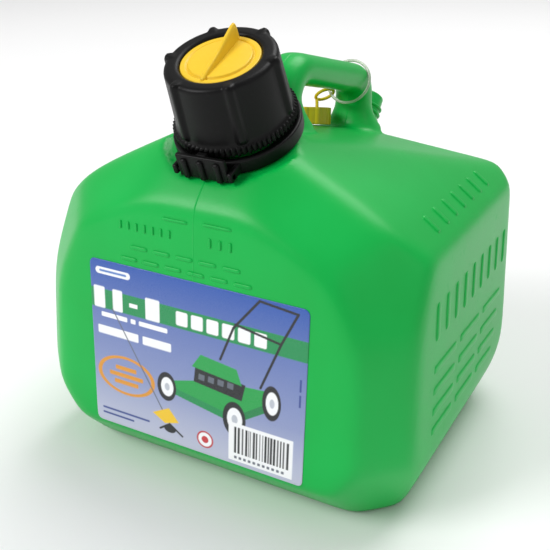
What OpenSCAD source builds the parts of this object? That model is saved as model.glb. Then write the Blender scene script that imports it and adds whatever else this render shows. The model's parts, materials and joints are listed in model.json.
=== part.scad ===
// Blow-moulded fuel can: a hollow faceted body with its handle, a large filler neck that leans
// forward under a child-resistant screw collar, and a small vent neck behind the handle.
// Origin: middle of the flat base. +Z up, the labelled front faces -Y.

/* [Body] */
// Width of the body at its base plane, before the lower bevels
body_w = 219; // [195:1:250]
// Depth of the body at its base plane, before the lower bevels
body_d = 194.5; // [180:0.5:225]
// Height at which the roof's two side slopes would meet over the middle
roof_z = 191.5; // [180:0.5:210]
// Wall thickness of the moulding
wall = 2.6; // [1.6:0.1:4]
// Height of the front gable's peak at the front face
gable_z = 161.5; // [150:0.5:180]
// Height of the flat brow in front of the neck, at the front face
brow_z = 144.5; // [135:0.5:150]
// Height of the roof's rear slope at the rear face
rear_z = 149; // [140:0.5:160]
// Height at which the steep eaves would meet over the middle
eave_z = 216.5; // [205:0.5:235]
// Size of the upright bevels at the two front corners
front_corner = 21.5; // [12:0.5:35]
// Size of the upright bevels at the two rear corners
rear_corner = 13; // [8:0.5:35]
// Height at which the front corners start to lean in
corner_lean_z = 102; // [90:1:130]
// Height at which the side walls start to turn in to the base
side_bevel_z = 29.5; // [15:0.5:45]
// Height at which the corners start to turn in to the base
corner_bevel_z = 39.5; // [20:0.5:55]
// Height at which the front and rear walls start to turn in to the base
front_bevel_z = 24; // [10:0.5:40]

/* [Handle] */
// Width of the handle across the can
handle_w = 22; // [16:0.5:26]
// Thickness of the handle's grip
handle_t = 16.5; // [12:0.5:19]
// Clear length of the hand opening
grip_gap = 78; // [68:0.5:82]
// Height of the grip's centreline above the base at its front end
grip_z = 202.5; // [198:0.5:212]
// Fall of the grip towards the rear, in degrees
grip_fall = 13; // [5:0.5:16]

/* [Filler neck] */
// Forward lean of the filler neck, in degrees
neck_lean = 24; // [15:0.5:28]
// Distance of the neck's foot behind the front face
neck_back = 49; // [45:0.5:56]
// Height of the neck's foot above the base
neck_z = 177; // [174:0.5:182]
// Radius of the filler opening
neck_bore_r = 18; // [14:0.25:19]
// Wall of the filler neck, without its thread
neck_wall = 2.6; // [2:0.1:3.4]
// Height of the filler neck above its foot
neck_h = 32; // [28:0.5:36]
// Pitch of the filler neck's thread
neck_pitch = 5; // [4:0.25:6]
// Depth of the threads
thread_depth = 1.4; // [1:0.1:1.8]

/* [Screw collar] */
// Radius of the collar's rim, without its ribs
collar_top_r = 26.2; // [25.5:0.1:28]
// Radius of the collar at its ratchet skirt
collar_skirt_r = 28.2; // [27.5:0.1:29]
// Height of the collar from skirt to rim
collar_h = 33.5; // [32:0.5:35]
// Number of grip ribs on the collar
collar_ribs = 6; // [4:1:10]
// Number of ratchet teeth round the skirt
ratchet_teeth = 72; // [48:1:90]

/* [Stopper and gaskets] */
// Radius of the round window in the collar's rim
window_r = 19; // [17:0.25:20]
// Height of the stopper's finger fin
fin_h = 8.6; // [5:0.2:12]
// Thickness of the stopper's fin
fin_t = 2.2; // [1.4:0.1:3]
// Thickness of each flat gasket
gasket_t = 1.6; // [1:0.1:2.5]
// Thickness of the stopper disc
disc_t = 2.4; // [1.6:0.1:3.5]
// Thickness of the spout's flange
flange_t = 2.2; // [1.6:0.1:3]

/* [Stored spout] */
// Length of the pouring spout that is stored inside the can
spout_len = 120; // [80:1:135]
// Radius of the spout's root
spout_root_r = 14.5; // [12:0.25:16]
// Radius of the spout's tip
spout_tip_r = 9; // [7:0.25:11]
// Wall of the spout
spout_wall = 1.6; // [1.2:0.1:2.5]

/* [Lock ring] */
// Outer radius of the lock ring round the neck
ring_r = 31; // [30.5:0.25:33]
// Height of the lock ring's band
ring_h = 7.5; // [5:0.25:8]
// Width of the push tab
tab_w = 26; // [18:0.5:30]
// Thickness of the push tab
tab_t = 2.4; // [1.8:0.1:3.2]

/* [Vent neck] */
// Backward lean of the vent neck, in degrees
vent_lean = 40; // [10:1:50]
// Radius of the vent's bore
vent_bore_r = 6.5; // [4:0.1:8]
// Outer radius of the vent neck, without its thread
vent_r = 9.6; // [8.4:0.1:11]
// Height of the vent neck above the roof's rear edge
vent_h = 26; // [20:0.5:30]
// Pitch of the vent neck's thread
vent_pitch = 4; // [3:0.25:5]

/* [Tie ring and vent cap] */
// Radius to the middle of the tie ring's wire
tie_r = 12.8; // [12.4:0.1:14]
// Thickness of the tie ring's wire
tie_wire = 1.7; // [1.2:0.1:2.2]
// Radius to the middle of the vent cap's own ring
loop_r = 5.6; // [4.8:0.1:7]
// Thickness of the vent cap's ring and strap
strap_t = 1.8; // [1.2:0.1:2.4]
// Inner radius of the vent cap
cap_bore_r = 11.2; // [10.8:0.1:12.5]
// Height of the vent cap
cap_h = 10; // [8:0.5:13]

/* [Label] */
// Width of the front label
label_w = 121.5; // [90:0.5:140]
// Height of the front label
label_h = 92; // [70:0.5:100]
// Thickness of the label
label_t = 0.8; // [0.6:0.1:1.2]

/* [Hidden] */

green = [0.02, 0.62, 0.16];
black = [0.05, 0.05, 0.055];
yellow = [0.98, 0.80, 0.10];

// Body: every facet is a half-space, and a high power mean of them rounds each edge softly
side_taper = 0.0507;
end_taper = 0.0437;
gable_side = 0.503;
gable_back = 0.875;
brow_slope = 1.06;
roof_side = 0.494;
eave_side = 0.803;
rear_side = 0.104;
rear_fall = 0.225;
corner_lean = 0.468;
side_bevel = 0.4;
corner_bevel = 0.74;
end_bevel = 0.98;
softness = 60;
core_z = 70;
base_skim = 0.6;
meridians = 52;
parallels = 26;
half_w = body_w / 2;
half_d = body_d / 2;
corner_front = half_w + half_d - front_corner;
corner_rear = half_w + half_d - rear_corner;
corner_taper = side_taper + end_taper;

// Half-spaces on one side, as [normal, reach]: normal * point <= reach
function side_planes(s) = [
    [[s, 0, side_taper], half_w],
    [[s, -1, corner_taper], corner_front],
    [[s, 1, corner_taper], corner_rear],
    [[s * gable_side, -gable_back, 1], gable_z + gable_back * half_d],
    [[s * roof_side, 0, 1], roof_z],
    [[s * eave_side, 0, 1], eave_z],
    [[s * rear_side, rear_fall, 1], rear_z + rear_fall * half_d],
    [[s, -1, corner_taper + corner_lean], corner_front + corner_lean * corner_lean_z],
    [[s, 0, -side_bevel], half_w - (side_taper + side_bevel) * side_bevel_z],
    [[s, -1, -corner_bevel], corner_front - (corner_taper + corner_bevel) * corner_bevel_z],
    [[s, 1, -corner_bevel], corner_rear - (corner_taper + corner_bevel) * corner_bevel_z]
];
// Half-spaces that cross the middle
mid_planes = [
    [[0, -1, end_taper], half_d],
    [[0, 1, end_taper], half_d],
    [[0, -brow_slope, 1], brow_z + brow_slope * half_d],
    [[0, -1, -end_bevel], half_d - (end_taper + end_bevel) * front_bevel_z],
    [[0, 1, -end_bevel], half_d - (end_taper + end_bevel) * front_bevel_z],
    [[0, 0, -1], base_skim]
];
planes = concat(side_planes(1), side_planes(-1), mid_planes);
core = [0, 0, core_z];
// Unit normal and distance from the core to each half-space, moved inwards by inset
function facets(inset) = [for (p = planes)
    let (len = norm(p[0])) [p[0] / len, (p[1] - p[0] * core) / len - inset]];
function total(v, i = 0) = i < len(v) ? v[i] + total(v, i + 1) : 0;
// How far the soft body reaches from its core in the direction u
function reach(u, fs) = pow(total([for (f = fs) pow(max(0, f[0] * u / f[1]), softness)]), -1 / softness);
function heading(az, el) = [cos(el) * cos(az), cos(el) * sin(az), sin(el)];
function form_points(inset) = let (fs = facets(inset)) concat(
    [core - [0, 0, reach([0, 0, -1], fs)]],
    [for (j = [1 : parallels - 1], i = [0 : meridians - 1])
        let (u = heading(360 * i / meridians, -90 + 180 * j / parallels)) core + u * reach(u, fs)],
    [core + [0, 0, reach([0, 0, 1], fs)]]);
// Faces of a grid of closed rings with a pole at each end
function ball_faces(rings, sides) = let (top = rings * sides + 1) concat(
    [for (i = [0 : sides - 1]) [0, 1 + i, 1 + (i + 1) % sides]],
    [for (j = [0 : rings - 2], i = [0 : sides - 1], half = [0, 1])
        let (a = 1 + j * sides + i, b = 1 + j * sides + (i + 1) % sides)
        half == 0 ? [a, a + sides, b] : [b, a + sides, b + sides]],
    [for (i = [0 : sides - 1]) let (a = top - sides) [a + (i + 1) % sides, a + i, top]]);
module soft_form(inset = 0) {
    intersection() {
        polyhedron(form_points(inset), ball_faces(parallels - 1, meridians));
        translate([-body_w, -body_d, inset]) cube([2 * body_w, 2 * body_d, 2 * roof_z]);
    }
}

// Closed polyhedron through rings of equal size, capped flat at both ends
module skin(rings) {
    n = len(rings[0]);
    last = len(rings) - 1;
    points = [for (r = rings, p = r) p];
    faces = concat(
        [[for (i = [n - 1 : -1 : 0]) i]],
        [for (j = [0 : last - 1], i = [0 : n - 1], half = [0, 1])
            let (a = j * n + i, b = j * n + (i + 1) % n)
            half == 0 ? [a, b, a + n] : [b, b + n, a + n]],
        [[for (i = [0 : n - 1]) last * n + i]]);
    polyhedron(points, faces);
}

// Filler neck frame: origin at the neck's foot, +Z along the neck
neck_foot = [0, -half_d + neck_back, neck_z];
neck_out_r = neck_bore_r + neck_wall;
neck_depth = 32;
seat_gap = 0.4;
seat_rim = 5;
pedestal_r = 28.5;
module in_neck() {
    translate(neck_foot) rotate([neck_lean, 0, 0]) children();
}
function neck_point(p) = neck_foot + [p[0],
    p[1] * cos(neck_lean) - p[2] * sin(neck_lean), p[1] * sin(neck_lean) + p[2] * cos(neck_lean)];

// Vent neck frame
vent_inset = 5;
vent_sink = 3.5;
vent_foot = [0, half_d - vent_inset, rear_z - vent_sink];
vent_depth = 13;
vent_root_grow = 2.4;
vent_root_r = vent_r + vent_root_grow;
vent_turns = 4;
vent_thread_share = 0.8;
module in_vent() {
    translate(vent_foot) rotate([-vent_lean, 0, 0]) children();
}

// Helical ridge of triangular section; out = 1 stands outwards, out = -1 stands inwards
steps_per_turn = 20;
foot_share = 0.42;
crest_share = 0.14;
thread_bed = 0.35;
thread_fade = 0.5;
thread_gap = 0.5;
module thread(r, pitch, z0, turns, depth, out = 1, phase = 0) {
    steps = round(turns * steps_per_turn);
    half_foot = pitch * foot_share / 2;
    half_crest = pitch * crest_share / 2;
    rings = [for (k = [0 : steps])
        let (a = phase + 360 * k / steps_per_turn, z = z0 + pitch * k / steps_per_turn,
            fade = min(1, (k + thread_fade) / 3, (steps - k + thread_fade) / 3),
            foot = r - out * thread_bed, crest = r + out * depth * fade)
        [for (q = out > 0
            ? [[foot, -half_foot], [crest, -half_crest], [crest, half_crest], [foot, half_foot]]
            : [[foot, half_foot], [crest, half_crest], [crest, -half_crest], [foot, -half_foot]])
            [q[0] * cos(a), q[0] * sin(a), z + q[1]]]];
    skin(rings);
}

// Handle: a centreline in the middle plane as [y, z, heading], heading 90 = straight up
grip_bend_r = 14;
arc_steps = 6;
leg_gap = 3.2;
leg_y = neck_foot[1] + ring_r * cos(neck_lean) + handle_t / 2 + leg_gap;
post_y = leg_y + handle_t + grip_gap;
foot_sink = 12;
function deck_z(y) = rear_z + rear_fall * (half_d - y);
deck_leg_z = deck_z(leg_y);
deck_post_z = deck_z(post_y);
front_turn = 90 + grip_fall;
rear_turn = 90 - grip_fall;
leg_arc_z = grip_z - grip_bend_r * tan(front_turn / 2);
post_corner_z = grip_z - (post_y - leg_y) * tan(grip_fall);
post_arc_z = post_corner_z - grip_bend_r * tan(rear_turn / 2);
function leg_arc(t) = let (h = 90 - t * front_turn)
    [leg_y + grip_bend_r * (1 - sin(h)), leg_arc_z + grip_bend_r * cos(h), h];
function post_arc(t) = let (h = -grip_fall - t * rear_turn)
    [post_y - grip_bend_r * (1 + sin(h)), post_arc_z + grip_bend_r * cos(h), h];
flare_h = 12;
flare_share = 0.45;
function flare(height) = height > flare_h ? 1
    : 1 + flare_share * pow(1 - max(0, height) / flare_h, 2);
handle_line = concat(
    [for (z = [-foot_sink, 0, 3, 6, 9, flare_h]) [leg_y, deck_leg_z + z, 90, flare(z)]],
    [for (i = [0 : arc_steps]) concat(leg_arc(i / arc_steps), [1])],
    [for (i = [0 : arc_steps]) concat(post_arc(i / arc_steps), [1])],
    [for (z = [flare_h, 9, 6, 3, 0, -foot_sink]) [post_y, deck_post_z + z, -90, flare(z)]]);
handle_sides = 16;
squareness = 0.8;
function round_square(c) = sign(c) * pow(abs(c), squareness);
function handle_ring(p, inset) = [for (i = [0 : handle_sides - 1])
    let (a = 360 * i / handle_sides, across = (handle_w / 2 * p[3] - inset) * round_square(cos(a)),
        up = (handle_t / 2 * p[3] - inset) * round_square(sin(a)))
    [across, p[0] - up * sin(p[2]), p[1] + up * cos(p[2])]];
module handle_solid(inset = 0) {
    skin([for (p = handle_line) handle_ring(p, inset)]);
}

// Where the soft body's skin lies on the way from its core to a point
function on_form(p) = let (v = p - core) core + v / norm(v) * reach(v / norm(v), facets(0));

// Raised marks on the front wall: two bars at the fill level
mark_h = 0.8;
mark_t = 1.6;
mark_sink = 1.6;
fill_z = 146;
fill_marks = [[-14, 12], [4, 14.5]];
module front_marks() {
    face_y = on_form([0, -half_d + end_taper * fill_z, fill_z])[1];
    for (m = fill_marks) translate([m[0], face_y - mark_h, fill_z - mark_t / 2])
        cube([m[1], mark_h + mark_sink, mark_t]);
}

// The flat seat round the neck's foot
module platform_cut(extra = 0) {
    in_neck() translate([0, 0, -seat_gap - extra])
        cylinder(r = ring_r + seat_rim + extra, h = neck_h, $fn = 96);
}
module can_body() {
    color(green) difference() {
        union() {
            difference() {
                soft_form();
                platform_cut();
            }
            handle_solid();
            front_marks();
            in_neck() {
                translate([0, 0, -neck_depth]) cylinder(r = pedestal_r, h = neck_depth - seat_gap, $fn = 96);
                translate([0, 0, -neck_depth]) cylinder(r = neck_out_r, h = neck_depth + neck_h, $fn = 96);
                thread(neck_out_r, neck_pitch, thread_z, thread_turns, thread_depth);
            }
            in_vent() {
                translate([0, 0, -vent_depth]) cylinder(r = vent_root_r, h = vent_depth, $fn = 64);
                translate([0, 0, -vent_depth]) cylinder(r = vent_r, h = vent_depth + vent_h, $fn = 64);
                thread(vent_r, vent_pitch, vent_pitch * 0.75, vent_turns, thread_depth * vent_thread_share);
            }
        }
        difference() {
            soft_form(wall);
            platform_cut(wall);
        }
        handle_solid(wall);
        label_plate();
        in_neck() {
            translate([0, 0, -neck_depth - wall])
                cylinder(r = pedestal_r - wall, h = neck_depth - seat_gap, $fn = 96);
            translate([0, 0, -neck_depth - wall])
                cylinder(r = neck_bore_r, h = neck_depth + neck_h + 2 * wall, $fn = 96);
        }
        in_vent() translate([0, 0, -vent_depth - 2 * wall])
            cylinder(r = vent_bore_r, h = vent_depth + vent_h + 3 * wall, $fn = 64);
    }
}

// Front label: a thin plate with round corners, let into the front wall
label_base_z = 25.2;
label_corner = 3;
label_let_in = 0.5;
module label_plate() {
    translate([0, -half_d + end_taper * label_base_z, label_base_z]) rotate([90 - atan(end_taper), 0, 0])
        translate([0, 0, -label_let_in]) linear_extrude(label_t)
            hull() for (x = [-1, 1], y = [0, 1])
                translate([x * (label_w / 2 - label_corner), label_corner + y * (label_h - 2 * label_corner)])
                    circle(r = label_corner, $fn = 32);
}
module front_label() {
    color([0.35, 0.5, 0.8]) label_plate();
}

// Closure stack along the neck
joint_sink = 0.1;
rim_t = 2.6;
spout_gasket_z = neck_h;
flange_z = spout_gasket_z + gasket_t;
stopper_gasket_z = flange_z + flange_t;
disc_z = stopper_gasket_z + gasket_t;
collar_under_z = disc_z + disc_t;
collar_top_z = collar_under_z + rim_t;
collar_skirt_z = collar_top_z - collar_h;
thread_turns = 2.25;
thread_z = neck_h - neck_pitch * (thread_turns + 0.6);
collar_bore_r = neck_out_r + thread_depth + thread_gap;
stack_gap = 0.4;
stack_r = collar_bore_r - stack_gap;
// The spout's flange and its gasket pass inside the collar's thread
flange_r = neck_out_r;
ratchet_h = 4;
ratchet_depth = 1.7;
skirt_h = ratchet_h + 1.5;
rim_round = 1.6;
rib_r = 2.3;
rib_phase = 7;
rib_proud = 0.6;
skirt_step = 0.5;
skirt_bevel = 0.8;

module screw_collar() {
    r_low = collar_skirt_r - skirt_step;
    window_bevel = 0.8;
    tooth_share = 0.18;
    rib_sink = 0.9;
    color(black) in_neck() {
        difference() {
            union() {
                rotate_extrude($fn = 128) polygon(concat(
                    [[collar_bore_r, collar_skirt_z], [collar_skirt_r, collar_skirt_z],
                     [collar_skirt_r, collar_skirt_z + skirt_h], [r_low, collar_skirt_z + skirt_h + skirt_bevel]],
                    [for (a = [0 : 15 : 90]) [collar_top_r - rim_round + rim_round * cos(a),
                        collar_top_z - rim_round + rim_round * sin(a)]],
                    [[window_r + window_bevel, collar_top_z], [window_r, collar_top_z - window_bevel],
                     [window_r, collar_under_z], [collar_bore_r, collar_under_z]]));
                translate([0, 0, collar_skirt_z]) linear_extrude(ratchet_h)
                    polygon([for (i = [0 : ratchet_teeth - 1], k = [0, 1])
                        let (a = 360 * (i + k * tooth_share) / ratchet_teeth,
                            r = k == 0 ? collar_skirt_r - joint_sink : collar_skirt_r + ratchet_depth)
                        r * [cos(a), sin(a)]]);
                for (i = [0 : collar_ribs - 1]) rotate(rib_phase + 360 * i / collar_ribs)
                    translate([r_low - rib_sink, 0, collar_skirt_z + skirt_h])
                        rotate([0, -atan((r_low - collar_top_r) / (collar_h - skirt_h)), 0])
                            cylinder(r = rib_r, h = collar_h - skirt_h + rib_proud, $fn = 32);
            }
            translate([0, 0, collar_skirt_z - 1])
                cylinder(r = collar_bore_r, h = collar_under_z - collar_skirt_z + 1, $fn = 128);
        }
        thread(collar_bore_r, neck_pitch, thread_z + neck_pitch / 2, thread_turns - 0.25,
            thread_depth, -1);
    }
}

module stopper_disc() {
    boss_r = window_r - stack_gap;
    boss_h = disc_t + rim_t - 1;
    ring_step = 0.5;
    ring_inset = 3;
    fin_round = 2;
    color(yellow) in_neck() translate([0, 0, disc_z]) {
        cylinder(r = stack_r, h = disc_t, $fn = 96);
        cylinder(r = boss_r, h = boss_h, $fn = 96);
        translate([0, 0, boss_h]) cylinder(r = boss_r - ring_inset, h = ring_step, $fn = 96);
        translate([fin_t / 2, 0, boss_h]) rotate([90, 0, -90]) linear_extrude(fin_t)
            polygon([[-boss_r + 1, -1], [-boss_r + 1, fin_h - fin_round], [-boss_r + 1 + fin_round, fin_h],
                [boss_r / 3, fin_h * 4 / 5], [boss_r - 1.5, fin_h / 4], [boss_r - 1, -1]]);
    }
}

module washer(z, inner_r, outer_r) {
    in_neck() translate([0, 0, z]) difference() {
        cylinder(r = outer_r, h = gasket_t, $fn = 96);
        translate([0, 0, -1]) cylinder(r = inner_r, h = gasket_t + 2, $fn = 96);
    }
}
module stopper_gasket() {
    color([0.2, 0.2, 0.2]) washer(stopper_gasket_z, spout_root_r, stack_r);
}
module spout_gasket() {
    color([0.2, 0.2, 0.2]) washer(spout_gasket_z, neck_bore_r, flange_r);
}

// The spout hangs point down in the neck, on its flange
module pouring_spout() {
    tip_z = flange_z + flange_t - spout_len;
    shoulder = 16;
    waist_r = spout_tip_r + 2;
    color(black) in_neck() rotate_extrude($fn = 96) polygon([
        [spout_root_r - spout_wall, flange_z + flange_t], [flange_r, flange_z + flange_t],
        [flange_r, flange_z], [spout_root_r, flange_z], [spout_root_r, flange_z - shoulder],
        [waist_r, flange_z - 2 * shoulder], [spout_tip_r, tip_z],
        [spout_tip_r - spout_wall, tip_z], [waist_r - spout_wall, flange_z - 2 * shoulder],
        [spout_root_r - spout_wall, flange_z - shoulder]]);
}

// Lock ring: a band round the neck with a rear lug and two ears for the push tab
ring_z = 0;
web_t = 2;
web_gap = 0.15;
web_r = neck_out_r + web_gap;
band_bevel = 0.6;
ear_reach = 2.2;
lug_foot_h = 3.5;
lug_lift = 1;
band_t = 2.2;
ear_w = 2.5;
ear_gap = 0.3;
ear_h = 5;
pin_r = 1.2;
pin_gap = 0.05;
tab_stand = 1.3;
tab_y = ring_r + tab_stand;
pin_y = tab_y + tab_t / 2;
pin_z = ring_z + 4;
tab_low = ring_z + 0.3;
tab_high = collar_skirt_z + ratchet_h - ear_gap;
ear_x = tab_w / 2 + ear_gap;
lug_w = 16;
lug_gap = 1.6;
lug_depth = 4.2;
lug_top = 12;
module lock_ring() {
    teeth_r = collar_skirt_r + ratchet_depth;
    color(black) in_neck() difference() {
        union() {
            rotate_extrude($fn = 128) polygon([
                [web_r, ring_z], [ring_r - band_bevel, ring_z], [ring_r, ring_z + band_bevel],
                [ring_r, ring_z + ring_h - band_bevel], [ring_r - band_bevel, ring_z + ring_h],
                [ring_r - band_t, ring_z + ring_h], [ring_r - band_t, ring_z + web_t],
                [web_r, ring_z + web_t]]);
            translate([-lug_w / 2, ring_r - band_t, ring_z + lug_lift])
                cube([lug_w, teeth_r + lug_gap - ring_r + band_t + lug_depth, lug_foot_h]);
            translate([-lug_w / 2, teeth_r + lug_gap, ring_z + lug_lift])
                cube([lug_w, lug_depth, lug_top]);
            for (s = [-1, 1]) translate([s > 0 ? ear_x : -ear_x - ear_w, -pin_y - ear_reach, pin_z - ear_h / 2])
                cube([ear_w, pin_y + ear_reach - sqrt(pow(ring_r - band_t, 2) - pow(ear_x + ear_w, 2)), ear_h]);
        }
        translate([-ear_x - 2 * ear_w, -pin_y, pin_z]) rotate([0, 90, 0])
            cylinder(r = pin_r + pin_gap, h = 2 * ear_x + 4 * ear_w, $fn = 32);
    }
}

module push_tab() {
    grip_ribs = 3;
    rib_w = 1.6;
    rib_h = 1.1;
    rib_spacing = tab_w * 0.36;
    rib_share = 0.8;
    pawl_w = 5;
    pawl_h = 2.5;
    pawl_gap = 0.4;
    pawl_reach = tab_y - (collar_skirt_r + ratchet_depth + pawl_gap);
    color(black) in_neck() {
        translate([-tab_w / 2, -tab_y - tab_t, tab_low]) cube([tab_w, tab_t, tab_high - tab_low]);
        for (i = [0 : grip_ribs - 1])
            translate([(i - (grip_ribs - 1) / 2) * rib_spacing - rib_w / 2, -tab_y - tab_t - rib_h, tab_low])
                cube([rib_w, rib_h + joint_sink, (tab_high - tab_low) * rib_share]);
        translate([-pawl_w / 2, -tab_y - joint_sink, tab_high - pawl_h])
            cube([pawl_w, pawl_reach + joint_sink, pawl_h]);
        translate([-ear_x - ear_w, -pin_y, pin_z]) rotate([0, 90, 0])
            cylinder(r = pin_r, h = 2 * (ear_x + ear_w), $fn = 32);
    }
}

// Tie ring round the rear bend of the handle
bend = post_arc(0.2);
tie_drop = 2.2;
tie_centre = [0, bend[0] + tie_drop * sin(bend[2]), bend[1] - tie_drop * cos(bend[2])];
module tie_ring() {
    color([0.85, 0.87, 0.8]) translate(tie_centre) rotate([bend[2], 0, 0]) rotate([90, 0, 0])
        rotate_extrude($fn = 64) translate([tie_r, 0]) circle(r = tie_wire / 2, $fn = 24);
}

// Vent cap: one moulding of ring, strap and cap. Its ring is threaded on the tie ring
cap_wall = 1.5;
cap_top = 1.8;
cap_out_r = cap_bore_r + cap_wall;
cap_lobes = 8;
cap_lobe_r = 1;
lobe_inset = 0.5;
deck_gap = 0.3;
cap_x = -18;
cap_y = post_y - 25;
cap_z = deck_z(cap_y) + rear_side * cap_x + deck_gap;
module on_deck() {
    translate([cap_x, cap_y, cap_z]) rotate([-atan(rear_fall), -atan(rear_side), 0]) children();
}
hang_angle = 215;
tie_up = [0, -sin(bend[2]), cos(bend[2])];
tie_out = cos(hang_angle) * [1, 0, 0] + sin(hang_angle) * tie_up;
wire_way = -sin(hang_angle) * [1, 0, 0] + cos(hang_angle) * tie_up;
hang = tie_centre + tie_r * tie_out;
loop_gap = 0.25;
loop_centre = hang + (loop_r - (tie_wire + strap_t) / 2 - loop_gap) * tie_out;
loop_foot = loop_centre + loop_r * tie_out;
strap_r = strap_t / 2 + 0.3;
strap_sink = 0.4;
deck_up = [-rear_side, rear_fall, 1] / norm([rear_side, rear_fall, 1]);
strap_end = [cap_x, cap_y, cap_z] + (cap_h - strap_sink) * deck_up;
strap_way = (strap_end - loop_foot) / norm(strap_end - loop_foot);
module vent_cap() {
    lean = acos(wire_way[2]);
    turn = atan2(wire_way[1], wire_way[0]);
    color(yellow) {
        translate(loop_centre) rotate([0, lean, turn]) rotate_extrude($fn = 48)
            translate([loop_r, 0]) circle(r = strap_t / 2, $fn = 24);
        translate(loop_foot) rotate([0, acos(strap_way[2]), atan2(strap_way[1], strap_way[0])])
            cylinder(r = strap_r, h = norm(strap_end - loop_foot), $fn = 32);
        on_deck() difference() {
            union() {
                cylinder(r = cap_out_r, h = cap_h, $fn = 64);
                for (i = [0 : cap_lobes - 1]) rotate(360 * i / cap_lobes)
                    translate([cap_out_r - joint_sink, 0, lobe_inset])
                        cylinder(r = cap_lobe_r, h = cap_h - 2 * lobe_inset, $fn = 24);
            }
            translate([0, 0, -1]) cylinder(r = cap_bore_r, h = cap_h - cap_top + 1, $fn = 64);
        }
    }
}
liner_t = 1.2;
module vent_cap_liner() {
    color([0.9, 0.9, 0.88]) on_deck() translate([0, 0, cap_h - cap_top - liner_t])
        cylinder(r = cap_bore_r - stack_gap, h = liner_t, $fn = 64);
}

can_body();
front_label();
lock_ring();
push_tab();
screw_collar();
stopper_disc();
stopper_gasket();
pouring_spout();
spout_gasket();
tie_ring();
vent_cap();
vent_cap_liner();
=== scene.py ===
"""Looks of a moulded safety gas can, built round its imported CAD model.

Lengths in the classes are millimetres in the row frame: the middle of the flat base is the
origin, +Z is up and the labelled front faces -Y. Meshes are handed to Blender in metres.
"""

from __future__ import annotations

import json
import logging
import math
from dataclasses import dataclass, field
from enum import Enum
from typing import Any, Sequence

import bpy
import numpy as np
from mathutils import Matrix, Vector

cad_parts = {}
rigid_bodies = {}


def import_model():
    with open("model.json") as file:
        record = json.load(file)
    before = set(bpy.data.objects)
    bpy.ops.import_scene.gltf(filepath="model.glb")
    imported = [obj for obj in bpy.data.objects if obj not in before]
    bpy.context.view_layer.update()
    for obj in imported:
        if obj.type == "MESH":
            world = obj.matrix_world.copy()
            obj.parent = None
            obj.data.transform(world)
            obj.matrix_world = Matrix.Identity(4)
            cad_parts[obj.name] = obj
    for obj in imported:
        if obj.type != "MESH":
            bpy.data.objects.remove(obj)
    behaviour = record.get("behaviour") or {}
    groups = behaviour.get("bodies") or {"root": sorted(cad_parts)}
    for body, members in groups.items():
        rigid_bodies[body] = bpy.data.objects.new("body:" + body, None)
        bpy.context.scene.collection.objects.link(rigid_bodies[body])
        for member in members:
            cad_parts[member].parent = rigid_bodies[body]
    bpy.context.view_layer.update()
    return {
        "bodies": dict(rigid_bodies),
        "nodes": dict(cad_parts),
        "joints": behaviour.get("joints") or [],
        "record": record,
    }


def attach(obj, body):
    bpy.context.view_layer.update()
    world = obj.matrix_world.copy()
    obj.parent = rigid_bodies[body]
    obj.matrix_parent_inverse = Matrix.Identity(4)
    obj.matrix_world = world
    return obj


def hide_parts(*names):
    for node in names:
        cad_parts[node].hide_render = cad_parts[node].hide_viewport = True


LOG = logging.getLogger("gas_can")
METRE = 0.001
TURN = 2.0 * math.pi


class Body(Enum):
    """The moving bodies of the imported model."""

    CAN = "can"
    TAB = "tab"
    STOPPER = "stopper"
    COLLAR = "collar"
    TIE = "tie"
    VENT_CAP = "vent_cap"


# ---------------------------------------------------------------- surfaces


@dataclass
class Patch:
    """A mesh under construction: points in millimetres, quads, triangles and point colours."""

    points: np.ndarray
    quads: np.ndarray
    tris: np.ndarray = field(default_factory=lambda: np.zeros((0, 3), int))
    colours: np.ndarray | None = None

    def volume(self) -> float:
        """Signed volume, positive where the faces point outwards."""
        q = self.quads
        t = np.concatenate([q[:, [0, 1, 2]], q[:, [0, 2, 3]], self.tris])
        a, b, c = (self.points[t[:, i]] for i in range(3))
        return float(np.einsum("ij,ij->i", a, np.cross(b, c)).sum() / 6.0)

    def outward(self) -> "Patch":
        """The same closed patch with its faces turned to point outwards."""
        if self.volume() < 0:
            self.quads = self.quads[:, ::-1]
            self.tris = self.tris[:, ::-1]
        return self

    def moved(self, frame: "Frame") -> "Patch":
        """The patch carried from a local frame to the row frame.

        Args:
            frame: the local frame that the points are in.

        Returns:
            This patch, with its points in the row frame.
        """
        self.points = frame.out(self.points)
        return self


@dataclass(frozen=True)
class Frame:
    """A local frame: an origin and a turn about X, in degrees, then about Y."""

    origin: tuple[float, float, float]
    about_x: float = 0.0
    about_y: float = 0.0

    def matrix(self) -> np.ndarray:
        """Rotation matrix whose columns are the local axes."""
        a, b = math.radians(self.about_x), math.radians(self.about_y)
        rx = np.array([[1, 0, 0], [0, math.cos(a), -math.sin(a)], [0, math.sin(a), math.cos(a)]])
        ry = np.array([[math.cos(b), 0, math.sin(b)], [0, 1, 0], [-math.sin(b), 0, math.cos(b)]])
        return ry @ rx

    def out(self, points: np.ndarray) -> np.ndarray:
        """Local points as row points."""
        return points @ self.matrix().T + np.array(self.origin)

    def into(self, points: np.ndarray) -> np.ndarray:
        """Row points as local points."""
        return (points - np.array(self.origin)) @ self.matrix()


def joined(patches: Sequence[Patch]) -> Patch:
    """Several patches as one mesh, each one kept as its own closed shell."""
    points, quads, tris, start = [], [], [], 0
    for p in patches:
        points.append(p.points)
        quads.append(p.quads + start)
        tris.append(p.tris + start)
        start += len(p.points)
    return Patch(np.concatenate(points), np.concatenate(quads), np.concatenate(tris))


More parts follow.
